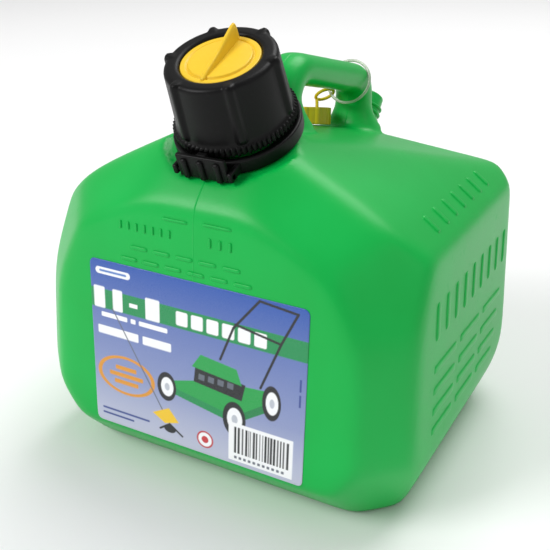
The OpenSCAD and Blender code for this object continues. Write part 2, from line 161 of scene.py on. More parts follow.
def grid_quads(rows: int, columns: int, loop_rows: bool, loop_columns: bool) -> np.ndarray:
    """Quads of a grid of points stored row by row.

    Args:
        rows: number of rows.
        columns: number of points in a row.
        loop_rows: whether the last row joins the first.
        loop_columns: whether the last point of a row joins its first.

    Returns:
        Point numbers, four to a face.
    """
    i = np.arange(rows if loop_rows else rows - 1)[:, None]
    j = np.arange(columns if loop_columns else columns - 1)[None, :]
    i2, j2 = (i + 1) % rows, (j + 1) % columns
    faces = [i * columns + j, i2 * columns + j, i2 * columns + j2, i * columns + j2]
    return np.stack(faces, -1).reshape(-1, 4)


def torus_like(points: np.ndarray) -> Patch:
    """A grid that closes both ways, such as a closed profile carried round a closed path."""
    rows, columns = points.shape[:2]
    return Patch(points.reshape(-1, 3), grid_quads(rows, columns, True, True)).outward()


def capped(rings: np.ndarray) -> Patch:
    """Closed rings joined in a row, with a fan to the middle of the first and of the last ring."""
    rows, columns = rings.shape[:2]
    flat = np.concatenate([rings.reshape(-1, 3), rings[:1].mean(1), rings[-1:].mean(1)])
    j = np.arange(columns)
    k = (j + 1) % columns
    last = (rows - 1) * columns
    first_fan = np.stack([np.full(columns, rows * columns), j, k], -1)
    last_fan = np.stack([np.full(columns, rows * columns + 1), last + k, last + j], -1)
    return Patch(flat, grid_quads(rows, columns, False, True), np.concatenate([first_fan, last_fan])).outward()


def slab(top: np.ndarray, bottom: np.ndarray) -> Patch:
    """A thin closed plate: the top grid, the bottom grid, and a band of quads joining their borders."""
    rows, columns = top.shape[:2]
    upper = grid_quads(rows, columns, False, False)
    count = rows * columns
    ids = np.arange(count).reshape(rows, columns)
    border = np.concatenate([ids[0, :-1], ids[:-1, -1], ids[-1, :0:-1], ids[:0:-1, 0]])
    after = np.roll(border, -1)
    band = np.stack([border, border + count, after + count, after], -1)
    lower = upper[:, ::-1] + count
    points = np.concatenate([top.reshape(-1, 3), bottom.reshape(-1, 3)])
    return consistent(Patch(points, np.concatenate([upper, lower, band])), len(upper))


def consistent(patch: Patch, faces: int) -> Patch:
    """A slab whose band agrees with its top, turned outwards as a whole.

    Args:
        patch: the slab.
        faces: the number of faces in its top.

    Returns:
        The slab with every face pointing outwards.
    """
    top_edges = {tuple(e) for q in patch.quads[:faces] for e in zip(q, np.roll(q, -1))}
    band = patch.quads[2 * faces:]
    if (band[0][3], band[0][0]) not in {(b, a) for a, b in top_edges}:
        patch.quads[2 * faces:] = band[:, ::-1]
    return patch.outward()


def revolved(profile: np.ndarray, sides: int, grow: np.ndarray | None = None) -> Patch:
    """A closed profile turned round Z.

    Point (i, j) is profile point j, (r, z), at the angle 360 i / sides, with grow[i, j] added to r.

    Args:
        profile: closed line of (r, z) points.
        sides: steps round the axis.
        grow: extra radius at each point, or None.

    Returns:
        The closed ring.
    """
    a = np.arange(sides)[:, None] * TURN / sides
    r = profile[None, :, 0] + (0.0 if grow is None else grow)
    z = np.broadcast_to(profile[None, :, 1], (sides, len(profile)))
    return torus_like(np.stack([r * np.cos(a), r * np.sin(a), z], -1))


def lathe(profile: np.ndarray, sides: int) -> Patch:
    """An open profile from the axis to the axis, turned round Z and closed by a fan at each end."""
    a = np.arange(sides)[None, :] * TURN / sides
    r, z = profile[:, None, 0], profile[:, None, 1]
    return capped(np.stack([r * np.cos(a), r * np.sin(a), np.broadcast_to(z, (len(profile), sides))], -1))


def softened(
    corners: Sequence[tuple[float, float]], radius: float, steps: int = 5, loop: bool = True,
) -> np.ndarray:
    """A line through corners with each corner swapped for a quadratic curve.

    The curve runs from the point `radius` before the corner to the one `radius` after it, with the
    corner as its control point: (1-t)^2 a + 2 t (1-t) c + t^2 b.

    Args:
        corners: the corner points.
        radius: how far from its corner each curve starts.
        steps: points on each curve.
        loop: whether the line is closed.

    Returns:
        The points of the softened line.
    """
    c = np.array(corners, float)
    before = np.roll(c, 1, 0) - c
    after = np.roll(c, -1, 0) - c
    lb, la = np.linalg.norm(before, axis=1), np.linalg.norm(after, axis=1)
    a = c + before * (np.minimum(radius, lb * 0.45) / lb)[:, None]
    b = c + after * (np.minimum(radius, la * 0.45) / la)[:, None]
    if not loop:
        a[0], b[0], a[-1], b[-1] = c[0], c[0], c[-1], c[-1]
    t = np.linspace(0, 1, steps)[None, :, None]
    curve = (1 - t) ** 2 * a[:, None] + 2 * t * (1 - t) * c[:, None] + t ** 2 * b[:, None]
    if loop:
        return curve.reshape(-1, 2)
    return np.concatenate([c[:1], curve[1:-1].reshape(-1, 2), c[-1:]])


def dense(line: np.ndarray, step: float) -> np.ndarray:
    """A closed line with extra points, so that no gap is longer than step."""
    out = []
    for p, q in zip(line, np.roll(line, -1, 0)):
        n = max(1, int(math.ceil(np.linalg.norm(q - p) / step)))
        out.append(p + (q - p) * (np.arange(n) / n)[:, None])
    return np.concatenate(out)


def rounded_block(low: Sequence[float], high: Sequence[float], radius: float, steps: int = 6) -> Patch:
    """A box with round edges: each point of a small sphere is pushed out to its octant's corner.

    Args:
        low: lowest corner.
        high: highest corner.
        radius: radius of the edges.
        steps: points on a quarter of an edge.

    Returns:
        The closed box.
    """
    lo, hi = np.array(low, float), np.array(high, float)
    half = (hi - lo) / 2 - radius
    quarter = np.linspace(0, math.pi / 2, steps)
    lon = np.concatenate([quarter + k * math.pi / 2 for k in range(4)])
    east = np.repeat([1, -1, -1, 1], steps)
    north = np.repeat([1, 1, -1, -1], steps)
    lat = np.concatenate([quarter - math.pi / 2, quarter])
    up = np.repeat([-1, 1], steps)
    x = radius * np.cos(lat)[:, None] * np.cos(lon)[None, :] + east[None, :] * half[0]
    y = radius * np.cos(lat)[:, None] * np.sin(lon)[None, :] + north[None, :] * half[1]
    z = np.broadcast_to((radius * np.sin(lat) + up * half[2])[:, None], x.shape)
    return capped(np.stack([x, y, z], -1) + (lo + hi) / 2)


def tube(path: np.ndarray, radius: np.ndarray | float, sides: int = 20, closed: bool = False) -> Patch:
    """A round tube along a path.

    Ring i is p + r (cos a n + sin a b), where n and b stand square to the path's direction at p.

    Args:
        path: centreline points.
        radius: one radius, or one for each point.
        sides: points round the tube.
        closed: whether the path is a loop.

    Returns:
        The closed tube.
    """
    ahead = np.roll(path, -1, 0) - np.roll(path, 1, 0) if closed else np.gradient(path, axis=0)
    ahead /= np.linalg.norm(ahead, axis=1)[:, None]
    spread = path - path.mean(0)
    aim = np.linalg.svd(spread, full_matrices=False)[2][-1]
    n = aim - (ahead @ aim)[:, None] * ahead
    n /= np.linalg.norm(n, axis=1)[:, None]
    b = np.cross(ahead, n)
    a = np.arange(sides) * TURN / sides
    r = np.broadcast_to(np.asarray(radius, float), (len(path),))[:, None, None]
    rings = path[:, None] + r * (np.cos(a)[None, :, None] * n[:, None] + np.sin(a)[None, :, None] * b[:, None])
    return torus_like(rings) if closed else capped(rings)


def helix_ridge(radius: float, pitch: float, start: float, turns: float, height: float, out: int = 1) -> Patch:
    """A screw thread: a small rounded hump carried along a rising spiral, fading at both ends.

    Args:
        radius: radius of the wall that the thread stands on.
        pitch: rise in one turn.
        start: height of the first point.
        turns: number of turns.
        height: how far the crest stands off the wall.
        out: 1 for an outer thread, -1 for an inner one.

    Returns:
        The closed ridge.
    """
    n = int(turns * 96)
    k = np.arange(n + 1)
    a = k * TURN / 96
    fade = np.clip(np.minimum(k + 1, n - k + 1) / 16.0, 0, 1)
    w = np.linspace(-1, 1, 9)
    hump = (1 - w ** 2) ** 0.8
    along = np.concatenate([w, w[-2:0:-1]]) * pitch * 0.26
    lift = np.concatenate([hump, np.full(7, -0.25)])
    r = radius + out * (lift[None, :] * height * fade[:, None])
    z = start + pitch * a[:, None] / TURN + along[None, :]
    return capped(np.stack([r * np.cos(a)[:, None], r * np.sin(a)[:, None], z], -1))


def bpy_mesh(name: str, patch: Patch) -> bpy.types.Mesh:
    """A Blender mesh in metres from a patch in millimetres."""
    mesh = bpy.data.meshes.new(name)
    points = (patch.points * METRE).astype(np.float32)
    mesh.vertices.add(len(points))
    mesh.vertices.foreach_set("co", points.ravel())
    loops = np.concatenate([patch.quads.ravel(), patch.tris.ravel()]).astype(np.int32)
    sizes = np.concatenate([np.full(len(patch.quads), 4), np.full(len(patch.tris), 3)])
    starts = np.concatenate([[0], np.cumsum(sizes)[:-1]]).astype(np.int32)
    mesh.loops.add(len(loops))
    mesh.loops.foreach_set("vertex_index", loops)
    mesh.polygons.add(len(sizes))
    mesh.polygons.foreach_set("loop_start", starts)
    mesh.polygons.foreach_set("use_smooth", np.ones(len(sizes), bool))
    mesh.update(calc_edges=True)
    mesh.validate()
    if patch.colours is not None:
        paint = mesh.attributes.new("artwork", "FLOAT_COLOR", "POINT")
        rgba = np.concatenate([patch.colours, np.ones((len(patch.colours), 1))], 1)
        paint.data.foreach_set("color", rgba.astype(np.float32).ravel())
    return mesh


# ---------------------------------------------------------------- shader maths


class Graph:
    """The node tree of one material."""

    def __init__(self, name: str) -> None:
        """Starts an empty material.

        Args:
            name: the material's name.
        """
        self.material = bpy.data.materials.new(name)
        self.material.use_nodes = True
        self.tree = self.material.node_tree
        self.tree.nodes.clear()

    def node(self, kind: str, settings: dict[str, Any] | None = None, **values: Any) -> bpy.types.Node:
        """Adds a node, makes its settings and then its sockets.

        Args:
            kind: Blender's node type.
            settings: properties of the node; "stops" fills a ramp.
            values: socket values or links by name, with _ for a space, or i0, i1 ... by number.

        Returns:
            The node.
        """
        made = self.tree.nodes.new(kind)
        for key, value in (settings or {}).items():
            if key == "stops":
                ramp = made.color_ramp
                while len(ramp.elements) < len(value):
                    ramp.elements.new(0.5)
                for element, (place, colour) in zip(ramp.elements, value):
                    element.position, element.color = place, (*colour, 1.0)
            else:
                setattr(made, key, value)
        for key, value in values.items():
            numbered = key[0] == "i" and key[1:].isdigit()
            socket = made.inputs[int(key[1:])] if numbered else made.inputs[key.replace("_", " ")]
            if isinstance(value, Sock):
                self.tree.links.new(value.link, socket)
            elif value is not None:
                socket.default_value = value
        return made

    def sock(self, node: bpy.types.Node, name: str | int = 0) -> "Sock":
        """An output of a node, ready for maths."""
        return Sock(self, node.outputs[name])

    def place(self) -> tuple["Sock", "Sock", "Sock"]:
        """The surface point's x, y and z in millimetres."""
        at = self.sock(self.node("ShaderNodeTexCoord"), "Object")
        split = self.node("ShaderNodeSeparateXYZ", i0=at)
        x, y, z = (self.sock(split, i) * 1000.0 for i in range(3))
        return x, y, z

    def noise(self, scale: float, detail: float = 3.0, stretch: tuple[float, float, float] = (1, 1, 1)) -> "Sock":
        """Noise from 0 to 1 on object coordinates.

        Args:
            scale: cells in a metre.
            detail: octaves.
            stretch: scale along each axis.

        Returns:
            The noise value.
        """
        at = self.sock(self.node("ShaderNodeTexCoord"), "Object")
        scaled = self.sock(self.node("ShaderNodeMapping", None, Vector=at, Scale=stretch))
        return self.sock(self.node("ShaderNodeTexNoise", None, Vector=scaled, Scale=scale, Detail=detail))

    def mix(self, share: "Sock", a: Any, b: Any) -> "Sock":
        """Colour a where share is 0 and b where it is 1."""
        made = self.node("ShaderNodeMix", {"data_type": "RGBA"}, i0=share, i6=rgba(a), i7=rgba(b))
        return self.sock(made, 2)

    def bump(self, height: "Sock", distance: float, strength: float = 1.0) -> "Sock":
        """A normal pushed by a height from 0 to 1, distance being its size in millimetres."""
        made = self.node("ShaderNodeBump", None, Height=height, Distance=distance * METRE, Strength=strength)
        return self.sock(made)

    def finish(self, **values: Any) -> bpy.types.Material:
        """Closes the material with a Principled shader that takes these sockets."""
        shader = self.node("ShaderNodeBsdfPrincipled", None, **values)
        out = self.node("ShaderNodeOutputMaterial")
        self.tree.links.new(shader.outputs[0], out.inputs[0])
        return self.material


class Sock:
    """A shader value that takes part in Python expressions."""

    def __init__(self, graph: Graph, link: bpy.types.NodeSocket) -> None:
        """Wraps an output socket of a graph."""
        self.graph = graph
        self.link = link

    def maths(self, operation: str, *values: Any, clamp: bool = False) -> "Sock":
        """A Math node on values.

        Args:
            operation: the node's operation.
            values: numbers or sockets.
            clamp: whether the result is held between 0 and 1.

        Returns:
            The result.
        """
        settings = {"operation": operation, "use_clamp": clamp}
        inputs = {f"i{i}": v for i, v in enumerate(values)}
        return Sock(self.graph, self.graph.node("ShaderNodeMath", settings, **inputs).outputs[0])

    def __add__(self, other: Any) -> "Sock":
        """self + other."""
        return self.maths("ADD", self, other)

    __radd__ = __add__

    def __mul__(self, other: Any) -> "Sock":
        """self * other."""
        return self.maths("MULTIPLY", self, other)

    __rmul__ = __mul__

    def __sub__(self, other: Any) -> "Sock":
        """self - other."""
        return self.maths("SUBTRACT", self, other)

    def __rsub__(self, other: Any) -> "Sock":
        """other - self."""
        return self.maths("SUBTRACT", other, self)

    def __truediv__(self, other: Any) -> "Sock":
        """self / other."""
        return self.maths("DIVIDE", self, other)

    def __pow__(self, other: Any) -> "Sock":
        """self to the power other."""
        return self.maths("POWER", self, other)

    def __abs__(self) -> "Sock":
        """Size of self."""
        return self.maths("ABSOLUTE", self)

    def held(self) -> "Sock":
        """self between 0 and 1."""
        return self.maths("ADD", self, 0.0, clamp=True)

    def step(self, low: float, high: float) -> "Sock":
        """0 below low, 1 above high, a straight ramp between."""
        return ((self - low) / (high - low)).held()


def rgba(colour: Any) -> Any:
    """A colour as Blender takes it: sockets stay, three numbers get an alpha."""
    return colour if isinstance(colour, Sock) else (*colour, 1.0)


def linear(red: int, green: int, blue: int) -> tuple[float, float, float]:
    """A display colour from 0 to 255 as linear light."""
    s = np.array([red, green, blue]) / 255.0
    lin = np.where(s <= 0.04045, s / 12.92, ((s + 0.055) / 1.055) ** 2.4)
    return tuple(float(v) for v in lin)


# ---------------------------------------------------------------- finishes


@dataclass(frozen=True)
class BlowMoulded:
    """Satin blow-moulded polyethylene with a parting seam down the middle plane."""

    colour: tuple[float, float, float]
    deep: tuple[float, float, float]
    seam_half: float = 0.45

    def build(self, name: str) -> bpy.types.Material:
        """The material."""
        g = Graph(name)
        x, _, z = g.place()
        cloud = g.noise(14.0, 2.0)
        grain = g.noise(900.0, 3.0)
        pull = g.noise(60.0, 2.0, (1, 1, 0.25))
        scuff = g.noise(190.0, 6.0).step(0.62, 0.72)
        low_wear = (1 - z.step(2.0, 14.0)) * scuff
        seam = 1 - (abs(x) / self.seam_half).held()
        base = g.mix((cloud * 0.8 + pull * 0.2).step(0.35, 0.65), self.deep, self.colour)
        worn = g.mix(low_wear * 0.35, base, linear(120, 220, 150))
        rough = (cloud * 0.1 + grain * 0.08 + scuff * 0.05 + 0.27).held()
        height = seam * 0.55 + grain * 0.05 + pull * 0.12
        return g.finish(
            Base_Color=worn, Roughness=rough, Normal=g.bump(height, 0.45, 0.6), IOR=1.51,
            Specular_IOR_Level=0.3,
        )


@dataclass(frozen=True)
class Moulded:
    """Injection-moulded plastic: fine spark grain, faint flow marks and light rubbing in scattered patches."""

    colour: tuple[float, float, float]
    rubbed: tuple[float, float, float]
    roughness: float = 0.36
    grain_size: float = 1400.0
    grain_depth: float = 0.06
    see_through: float = 0.0
    inner_glow: float = 0.0
    gloss: float = 0.35

    def build(self, name: str) -> bpy.types.Material:
        """The material."""
        g = Graph(name)
        grain = g.noise(self.grain_size, 4.0)
        flow = g.noise(70.0, 3.0, (1, 1, 0.2))
        scuff = g.noise(320.0, 6.0).step(0.6, 0.74)
        base = g.mix((scuff * 0.5 + flow * 0.3).held(), self.colour, self.rubbed)
        rough = (flow * 0.12 + grain * 0.1 + scuff * 0.08 + (self.roughness - 0.11)).held()
        return g.finish(
            Base_Color=base, Roughness=rough, Normal=g.bump(grain * 0.7 + flow * 0.3, self.grain_depth, 0.7),
            IOR=1.5, Transmission_Weight=self.see_through, Subsurface_Weight=self.inner_glow,
            Specular_IOR_Level=self.gloss,
            Subsurface_Radius=(0.004, 0.003, 0.002), Subsurface_Scale=0.4,
        )


@dataclass(frozen=True)
class PrintedFilm:
    """Semi-gloss film whose print is kept as a colour on the piece's points."""

    def build(self, name: str) -> bpy.types.Material:
        """The material."""
        g = Graph(name)
        paint = g.sock(g.node("ShaderNodeAttribute", {"attribute_name": "artwork"}), "Color")
        fleck = g.noise(2600.0, 2.0)
        wave = g.noise(24.0, 2.0)
        inked = g.mix(fleck.step(0.3, 0.9) * 0.06, paint, (0.75, 0.8, 0.85))
        rough = (fleck * 0.1 + wave * 0.12 + 0.2).held()
        return g.finish(Base_Color=inked, Roughness=rough, Normal=g.bump(wave + fleck * 0.02, 0.12, 0.5), IOR=1.5)


@dataclass(frozen=True)
class Concrete:
    """Plain pale studio floor."""

    colour: tuple[float, float, float] = (0.88, 0.88, 0.88)

    def build(self, name: str) -> bpy.types.Material:
        """The material."""
        g = Graph(name)
        cloud = g.noise(6.0, 2.0)
        return g.finish(Base_Color=g.mix(cloud * 0.1, self.colour, (0.8, 0.8, 0.8)), Roughness=0.9)


GREEN = BlowMoulded((0.0004, 0.46, 0.07), (0.0003, 0.41, 0.056))
BLACK = Moulded((0.003, 0.003, 0.0031), (0.009, 0.0088, 0.009), 0.4, gloss=0.16)
SPOUT_BLACK = Moulded(linear(24, 24, 26), linear(46, 46, 48), 0.46)
YELLOW = Moulded((0.84, 0.54, 0.02), (0.88, 0.6, 0.04), 0.4, inner_glow=0.05)
CAP_YELLOW = Moulded((0.6, 0.46, 0.006), (0.66, 0.54, 0.02), 0.42, inner_glow=0.05)
NYLON = Moulded(linear(214, 226, 205), linear(235, 240, 228), 0.22, see_through=0.55)
RUBBER = Moulded(linear(30, 30, 31), linear(60, 60, 60), 0.62, grain_depth=0.1)
FOAM = Moulded(linear(236, 236, 228), linear(210, 210, 200), 0.7, grain_size=2600.0, grain_depth=0.25)
FILM = PrintedFilm()


@dataclass
class Workshop:
    """Keeps one material for each finish and turns patches into pieces."""

    made: dict[str, bpy.types.Material] = field(default_factory=dict)

    def dress(self, obj: bpy.types.Object, finish: Any, slot: str) -> None:
        """Gives an object its finish and its record slot."""
        if slot not in self.made:
            self.made[slot] = finish.build(slot)
        if obj.data.materials:
            for i in range(len(obj.material_slots)):
                obj.material_slots[i].link = "OBJECT"
                obj.material_slots[i].material = self.made[slot]
        else:
            obj.data.materials.append(self.made[slot])

    def piece(
        self, name: str, shape: Patch | bpy.types.Mesh, body: Body, finish: Any, slot: str,
        stands_for: Sequence[str] = (),
    ) -> bpy.types.Object:
        """A finished piece of the object.

        Args:
            name: the piece's name.
            shape: its patch or finished mesh.
            body: the body it moves with.
            finish: its finish.
            slot: the record's material slot.
            stands_for: CAD nodes that it replaces.

        Returns:
            The object.
        """
        mesh = bpy_mesh(name, shape) if isinstance(shape, Patch) else shape
        obj = bpy.data.objects.new(name, mesh)
        bpy.context.scene.collection.objects.link(obj)
        self.dress(obj, finish, slot)
        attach(obj, body.value)
        if stands_for:
            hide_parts(*stands_for)
        LOG.info("%s: %d points, rides on %s", name, len(mesh.vertices), body.value)
        return obj


# ---------------------------------------------------------------- body


@dataclass
class SoftForm:
    """The can's soft body: half-spaces whose edges are rounded by a high power mean.

    From the core point, the surface lies in the unit direction u at the distance
    (sum over half-spaces of max(0, n.u / d) ^ p) ^ (-1 / p).
    """

    width: float = 219.0
    depth: float = 194.5
    front_corner: float = 21.5
    rear_corner: float = 13.0
    power: float = 66.0
    core: tuple[float, float, float] = (0.0, 0.0, 70.0)

    def __post_init__(self) -> None:
        """Works out unit normals and distances of the half-spaces."""
        hw, hd = self.width / 2, self.depth / 2
        st, et = 0.0507, 0.0437
        ct = st + et
        cf, cr = hw + hd - self.front_corner, hw + hd - self.rear_corner
        rows: list[tuple[list[float], float]] = [
            ([0, -1, et], hd), ([0, 1, et], hd), ([0, -1.06, 1], 144.5 + 1.06 * hd),
            ([0, -1, -0.98], hd - (et + 0.98) * 24), ([0, 1, -0.98], hd - (et + 0.98) * 24), ([0, 0, -1], 0.6),
        ]
        for s in (1, -1):
            rows += [
                ([s, 0, st], hw), ([s, -1, ct], cf), ([s, 1, ct], cr),
                ([s * 0.503, -0.875, 1], 161.5 + 0.875 * hd), ([s * 0.494, 0, 1], 191.5), ([s * 0.803, 0, 1], 216.5),
                ([s * 0.104, 0.225, 1], 149 + 0.225 * hd), ([s, -1, ct + 0.468], cf + 0.468 * 102),
                ([s, 0, -0.4], hw - (st + 0.4) * 29.5), ([s, -1, -0.74], cf - (ct + 0.74) * 39.5),
                ([s, 1, -0.74], cr - (ct + 0.74) * 39.5),
            ]
        n = np.array([r[0] for r in rows], float)
        size = np.linalg.norm(n, axis=1)
        self.reach_d = (np.array([r[1] for r in rows]) - n @ np.array(self.core)) / size
        self.normals = n / size[:, None]

    def reach(self, u: np.ndarray) -> np.ndarray:
        """Distance from the core to the surface in the unit directions u."""
        q = np.maximum(0.0, u @ self.normals.T / self.reach_d)
        return (q ** self.power).sum(-1) ** (-1.0 / self.power)

    def on(self, points: np.ndarray) -> np.ndarray:
        """Points moved along the ray from the core until they lie on the surface."""
        v = points - np.array(self.core)
        u = v / np.linalg.norm(v, axis=-1, keepdims=True)
        return np.array(self.core) + u * self.reach(u)[..., None]

    def normal(self, points: np.ndarray) -> np.ndarray:
        """Outward normal at surface points: the half-spaces' normals weighted by how much each one bears."""
        v = points - np.array(self.core)
        u = v / np.linalg.norm(v, axis=-1, keepdims=True)
        q = np.maximum(0.0, u @ self.normals.T / self.reach_d)
        w = q ** (self.power - 1) / self.reach_d
        n = w @ self.normals
        return n / np.linalg.norm(n, axis=-1, keepdims=True)

    def patch(self, around: int = 360, up: int = 180) -> Patch:
        """The whole form on a grid of headings and heights, flat below the base plane."""
        lat = (np.arange(1, up) / up - 0.5) * math.pi
        lon = np.arange(around) * TURN / around
        u = np.stack([
            np.cos(lat)[:, None] * np.cos(lon), np.cos(lat)[:, None] * np.sin(lon),
            np.broadcast_to(np.sin(lat)[:, None], (up - 1, around)),
        ], -1)
        points = np.array(self.core) + u * self.reach(u)[..., None]
        points[..., 2] = np.maximum(points[..., 2], 0.0)
        return capped(points)


@dataclass
class Shell:
    """The blow-moulded can: soft body, neck pedestal and carrying handle melted into one skin."""

    shop: Workshop
    form: SoftForm = field(default_factory=SoftForm)
    neck: Frame = Frame((0.0, -48.25, 177.0), 24.0)
    vent: Frame = Frame((0.0, 92.25, 145.5), -40.0)
    seat_r: float = 36.0
    seat_gap: float = 0.4
    pedestal_r: float = 28.5
    leg_y: float = -8.48
    post_y: float = 86.02
    grip_z: float = 202.5
    grip_fall: float = 13.0
    bend_r: float = 14.0
    handle_w: float = 22.0
    handle_t: float = 16.5
    voxel: float = 1.65

    def deck(self, y: float) -> float:
        """Height of the rear deck at y, on the middle plane."""
        return 149 + 0.225 * (97.25 - y)

    def handle_line(self) -> np.ndarray:
        """The handle's centreline as rows of y, z, heading and flare.

        Two straight legs and a sloping grip meet in arcs of radius bend_r; each leg widens towards
        the deck by 0.6 (1 - h / 16)^2, h being its height over the deck.
        """
        rows: list[tuple[float, float, float, float]] = []
        fall = math.radians(self.grip_fall)
        front, rear = math.pi / 2 + fall, math.pi / 2 - fall
        leg_top = self.grip_z - self.bend_r * math.tan(front / 2)
        post_top = self.grip_z - (self.post_y - self.leg_y) * math.tan(fall) - self.bend_r * math.tan(rear / 2)

        def flare(h: float) -> float:
            return 1 + 0.6 * max(0.0, 1 - max(0.0, h) / 16) ** 2

        for z in np.linspace(self.deck(self.leg_y) - 10, leg_top - 0.3, 26):
            rows.append((self.leg_y, z, math.pi / 2, flare(z - self.deck(self.leg_y))))
        for t in np.linspace(0, 1, 18):
            h = math.pi / 2 - t * front
            across, up = self.bend_r * (1 - math.sin(h)), self.bend_r * math.cos(h)
            rows.append((self.leg_y + across, leg_top + up, h, 1.0))
        for t in np.linspace(0, 1, 18):
            h = -fall - t * rear
            across, up = self.bend_r * (1 + math.sin(h)), self.bend_r * math.cos(h)
            rows.append((self.post_y - across, post_top + up, h, 1.0))
        for z in np.linspace(post_top - 0.3, self.deck(self.post_y) - 10, 26):
            rows.append((self.post_y, z, -math.pi / 2, flare(z - self.deck(self.post_y))))
        return np.array(rows)

    def handle(self) -> Patch:
        """The handle: a rounded-square section, |x/a|^2.5 + |y/b|^2.5 = 1, carried along its centreline."""
        line = self.handle_line()
        a = np.arange(56) * TURN / 56
        across = np.sign(np.cos(a)) * np.abs(np.cos(a)) ** 0.8 * self.handle_w / 2
        up = np.sign(np.sin(a)) * np.abs(np.sin(a)) ** 0.8 * self.handle_t / 2
        y, z, h, wide = (line[:, i][:, None] for i in range(4))
        x = across[None, :] * wide
        return capped(np.stack([x, y - up * wide * np.sin(h), z + up * wide * np.cos(h)], -1))

    def seated(self, patch: Patch) -> Patch:
        """The body with the part that would stand over the neck's seat pressed down to it."""
        local = self.neck.into(patch.points)
        over = (np.hypot(local[:, 0], local[:, 1]) < self.seat_r) & (local[:, 2] > -self.seat_gap)
        local[over, 2] = -self.seat_gap
        patch.points = self.neck.out(local)
        return patch

    def pedestal(self) -> Patch:
        """A round foot for the neck, wider with depth: r + 5 (depth / 26)^2."""
        s = np.linspace(-34, -self.seat_gap, 24)
        r = self.pedestal_r + 5 * ((-s - self.seat_gap) / 26) ** 2
        profile = np.concatenate([[[0.01, s[0]]], np.stack([r, s], -1), [[0.01, s[-1]]]])
        return lathe(profile, 96).moved(self.neck)

    def vent_root(self) -> Patch:
        """A round foot for the vent neck, wider with depth."""
        s = np.linspace(-14, 0.6, 14)
        r = 11.8 + 3.5 * ((0.6 - s) / 14) ** 2
        profile = np.concatenate([[[0.01, s[0]]], np.stack([r, s], -1), [[0.01, s[-1]]]])
        return lathe(profile, 64).moved(self.vent)

    def melted(self, patch: Patch) -> bpy.types.Mesh:
        """One skin round overlapping shells: a voxel remesh, then a light smoothing of the inner corners."""
        obj = bpy.data.objects.new("shell_parts", bpy_mesh("shell_parts", patch))
        bpy.context.scene.collection.objects.link(obj)
        remesh = obj.modifiers.new("skin", "REMESH")
        remesh.mode = "VOXEL"
        remesh.voxel_size = self.voxel * METRE
        remesh.use_smooth_shade = True
        smooth = obj.modifiers.new("soft", "SMOOTH")
        smooth.factor, smooth.iterations = 0.5, 4
        depsgraph = bpy.context.evaluated_depsgraph_get()
        mesh = bpy.data.meshes.new_from_object(obj.evaluated_get(depsgraph))
        mesh.name = "can_shell"
        bpy.data.objects.remove(obj)
        co = np.empty(len(mesh.vertices) * 3, np.float32)
        mesh.vertices.foreach_get("co", co)
        co = co.reshape(-1, 3)
        co[:, 2] = np.maximum(co[:, 2], 0.0)
        mesh.vertices.foreach_set("co", co.ravel())
        mesh.polygons.foreach_set("use_smooth", np.ones(len(mesh.polygons), bool))
        mesh.update()
        return mesh

    def build(self) -> None:
        """Makes the shell and its two threaded necks."""
        parts = joined([self.seated(self.form.patch()), self.pedestal(), self.handle(), self.vent_root()])
        self.shop.piece("can_shell", self.melted(parts), Body.CAN, GREEN, "green_shell", ["can_body"])
        self.necks()

    def necks(self) -> None:
        """The threaded filler neck and the threaded vent neck, each a wall with a bore and a helical ridge."""
        wall = softened([(18.0, -6.0), (20.6, -6.0), (20.6, 32.0), (18.0, 32.0)], 0.8)
        filler = [revolved(wall, 128), helix_ridge(20.6, 5.0, 17.75, 2.25, 1.4)]
        neck = joined([p.moved(self.neck) for p in filler])
        self.shop.piece("filler_neck", neck, Body.CAN, GREEN, "green_shell")
        wall = softened([(6.5, -3.0), (9.6, -3.0), (9.6, 26.0), (6.5, 26.0)], 0.7)
        vent = [revolved(wall, 96), helix_ridge(9.6, 4.0, 2.5, 4.4, 1.15)]
        self.shop.piece("vent_neck", joined([p.moved(self.vent) for p in vent]), Body.CAN, GREEN, "green_shell")


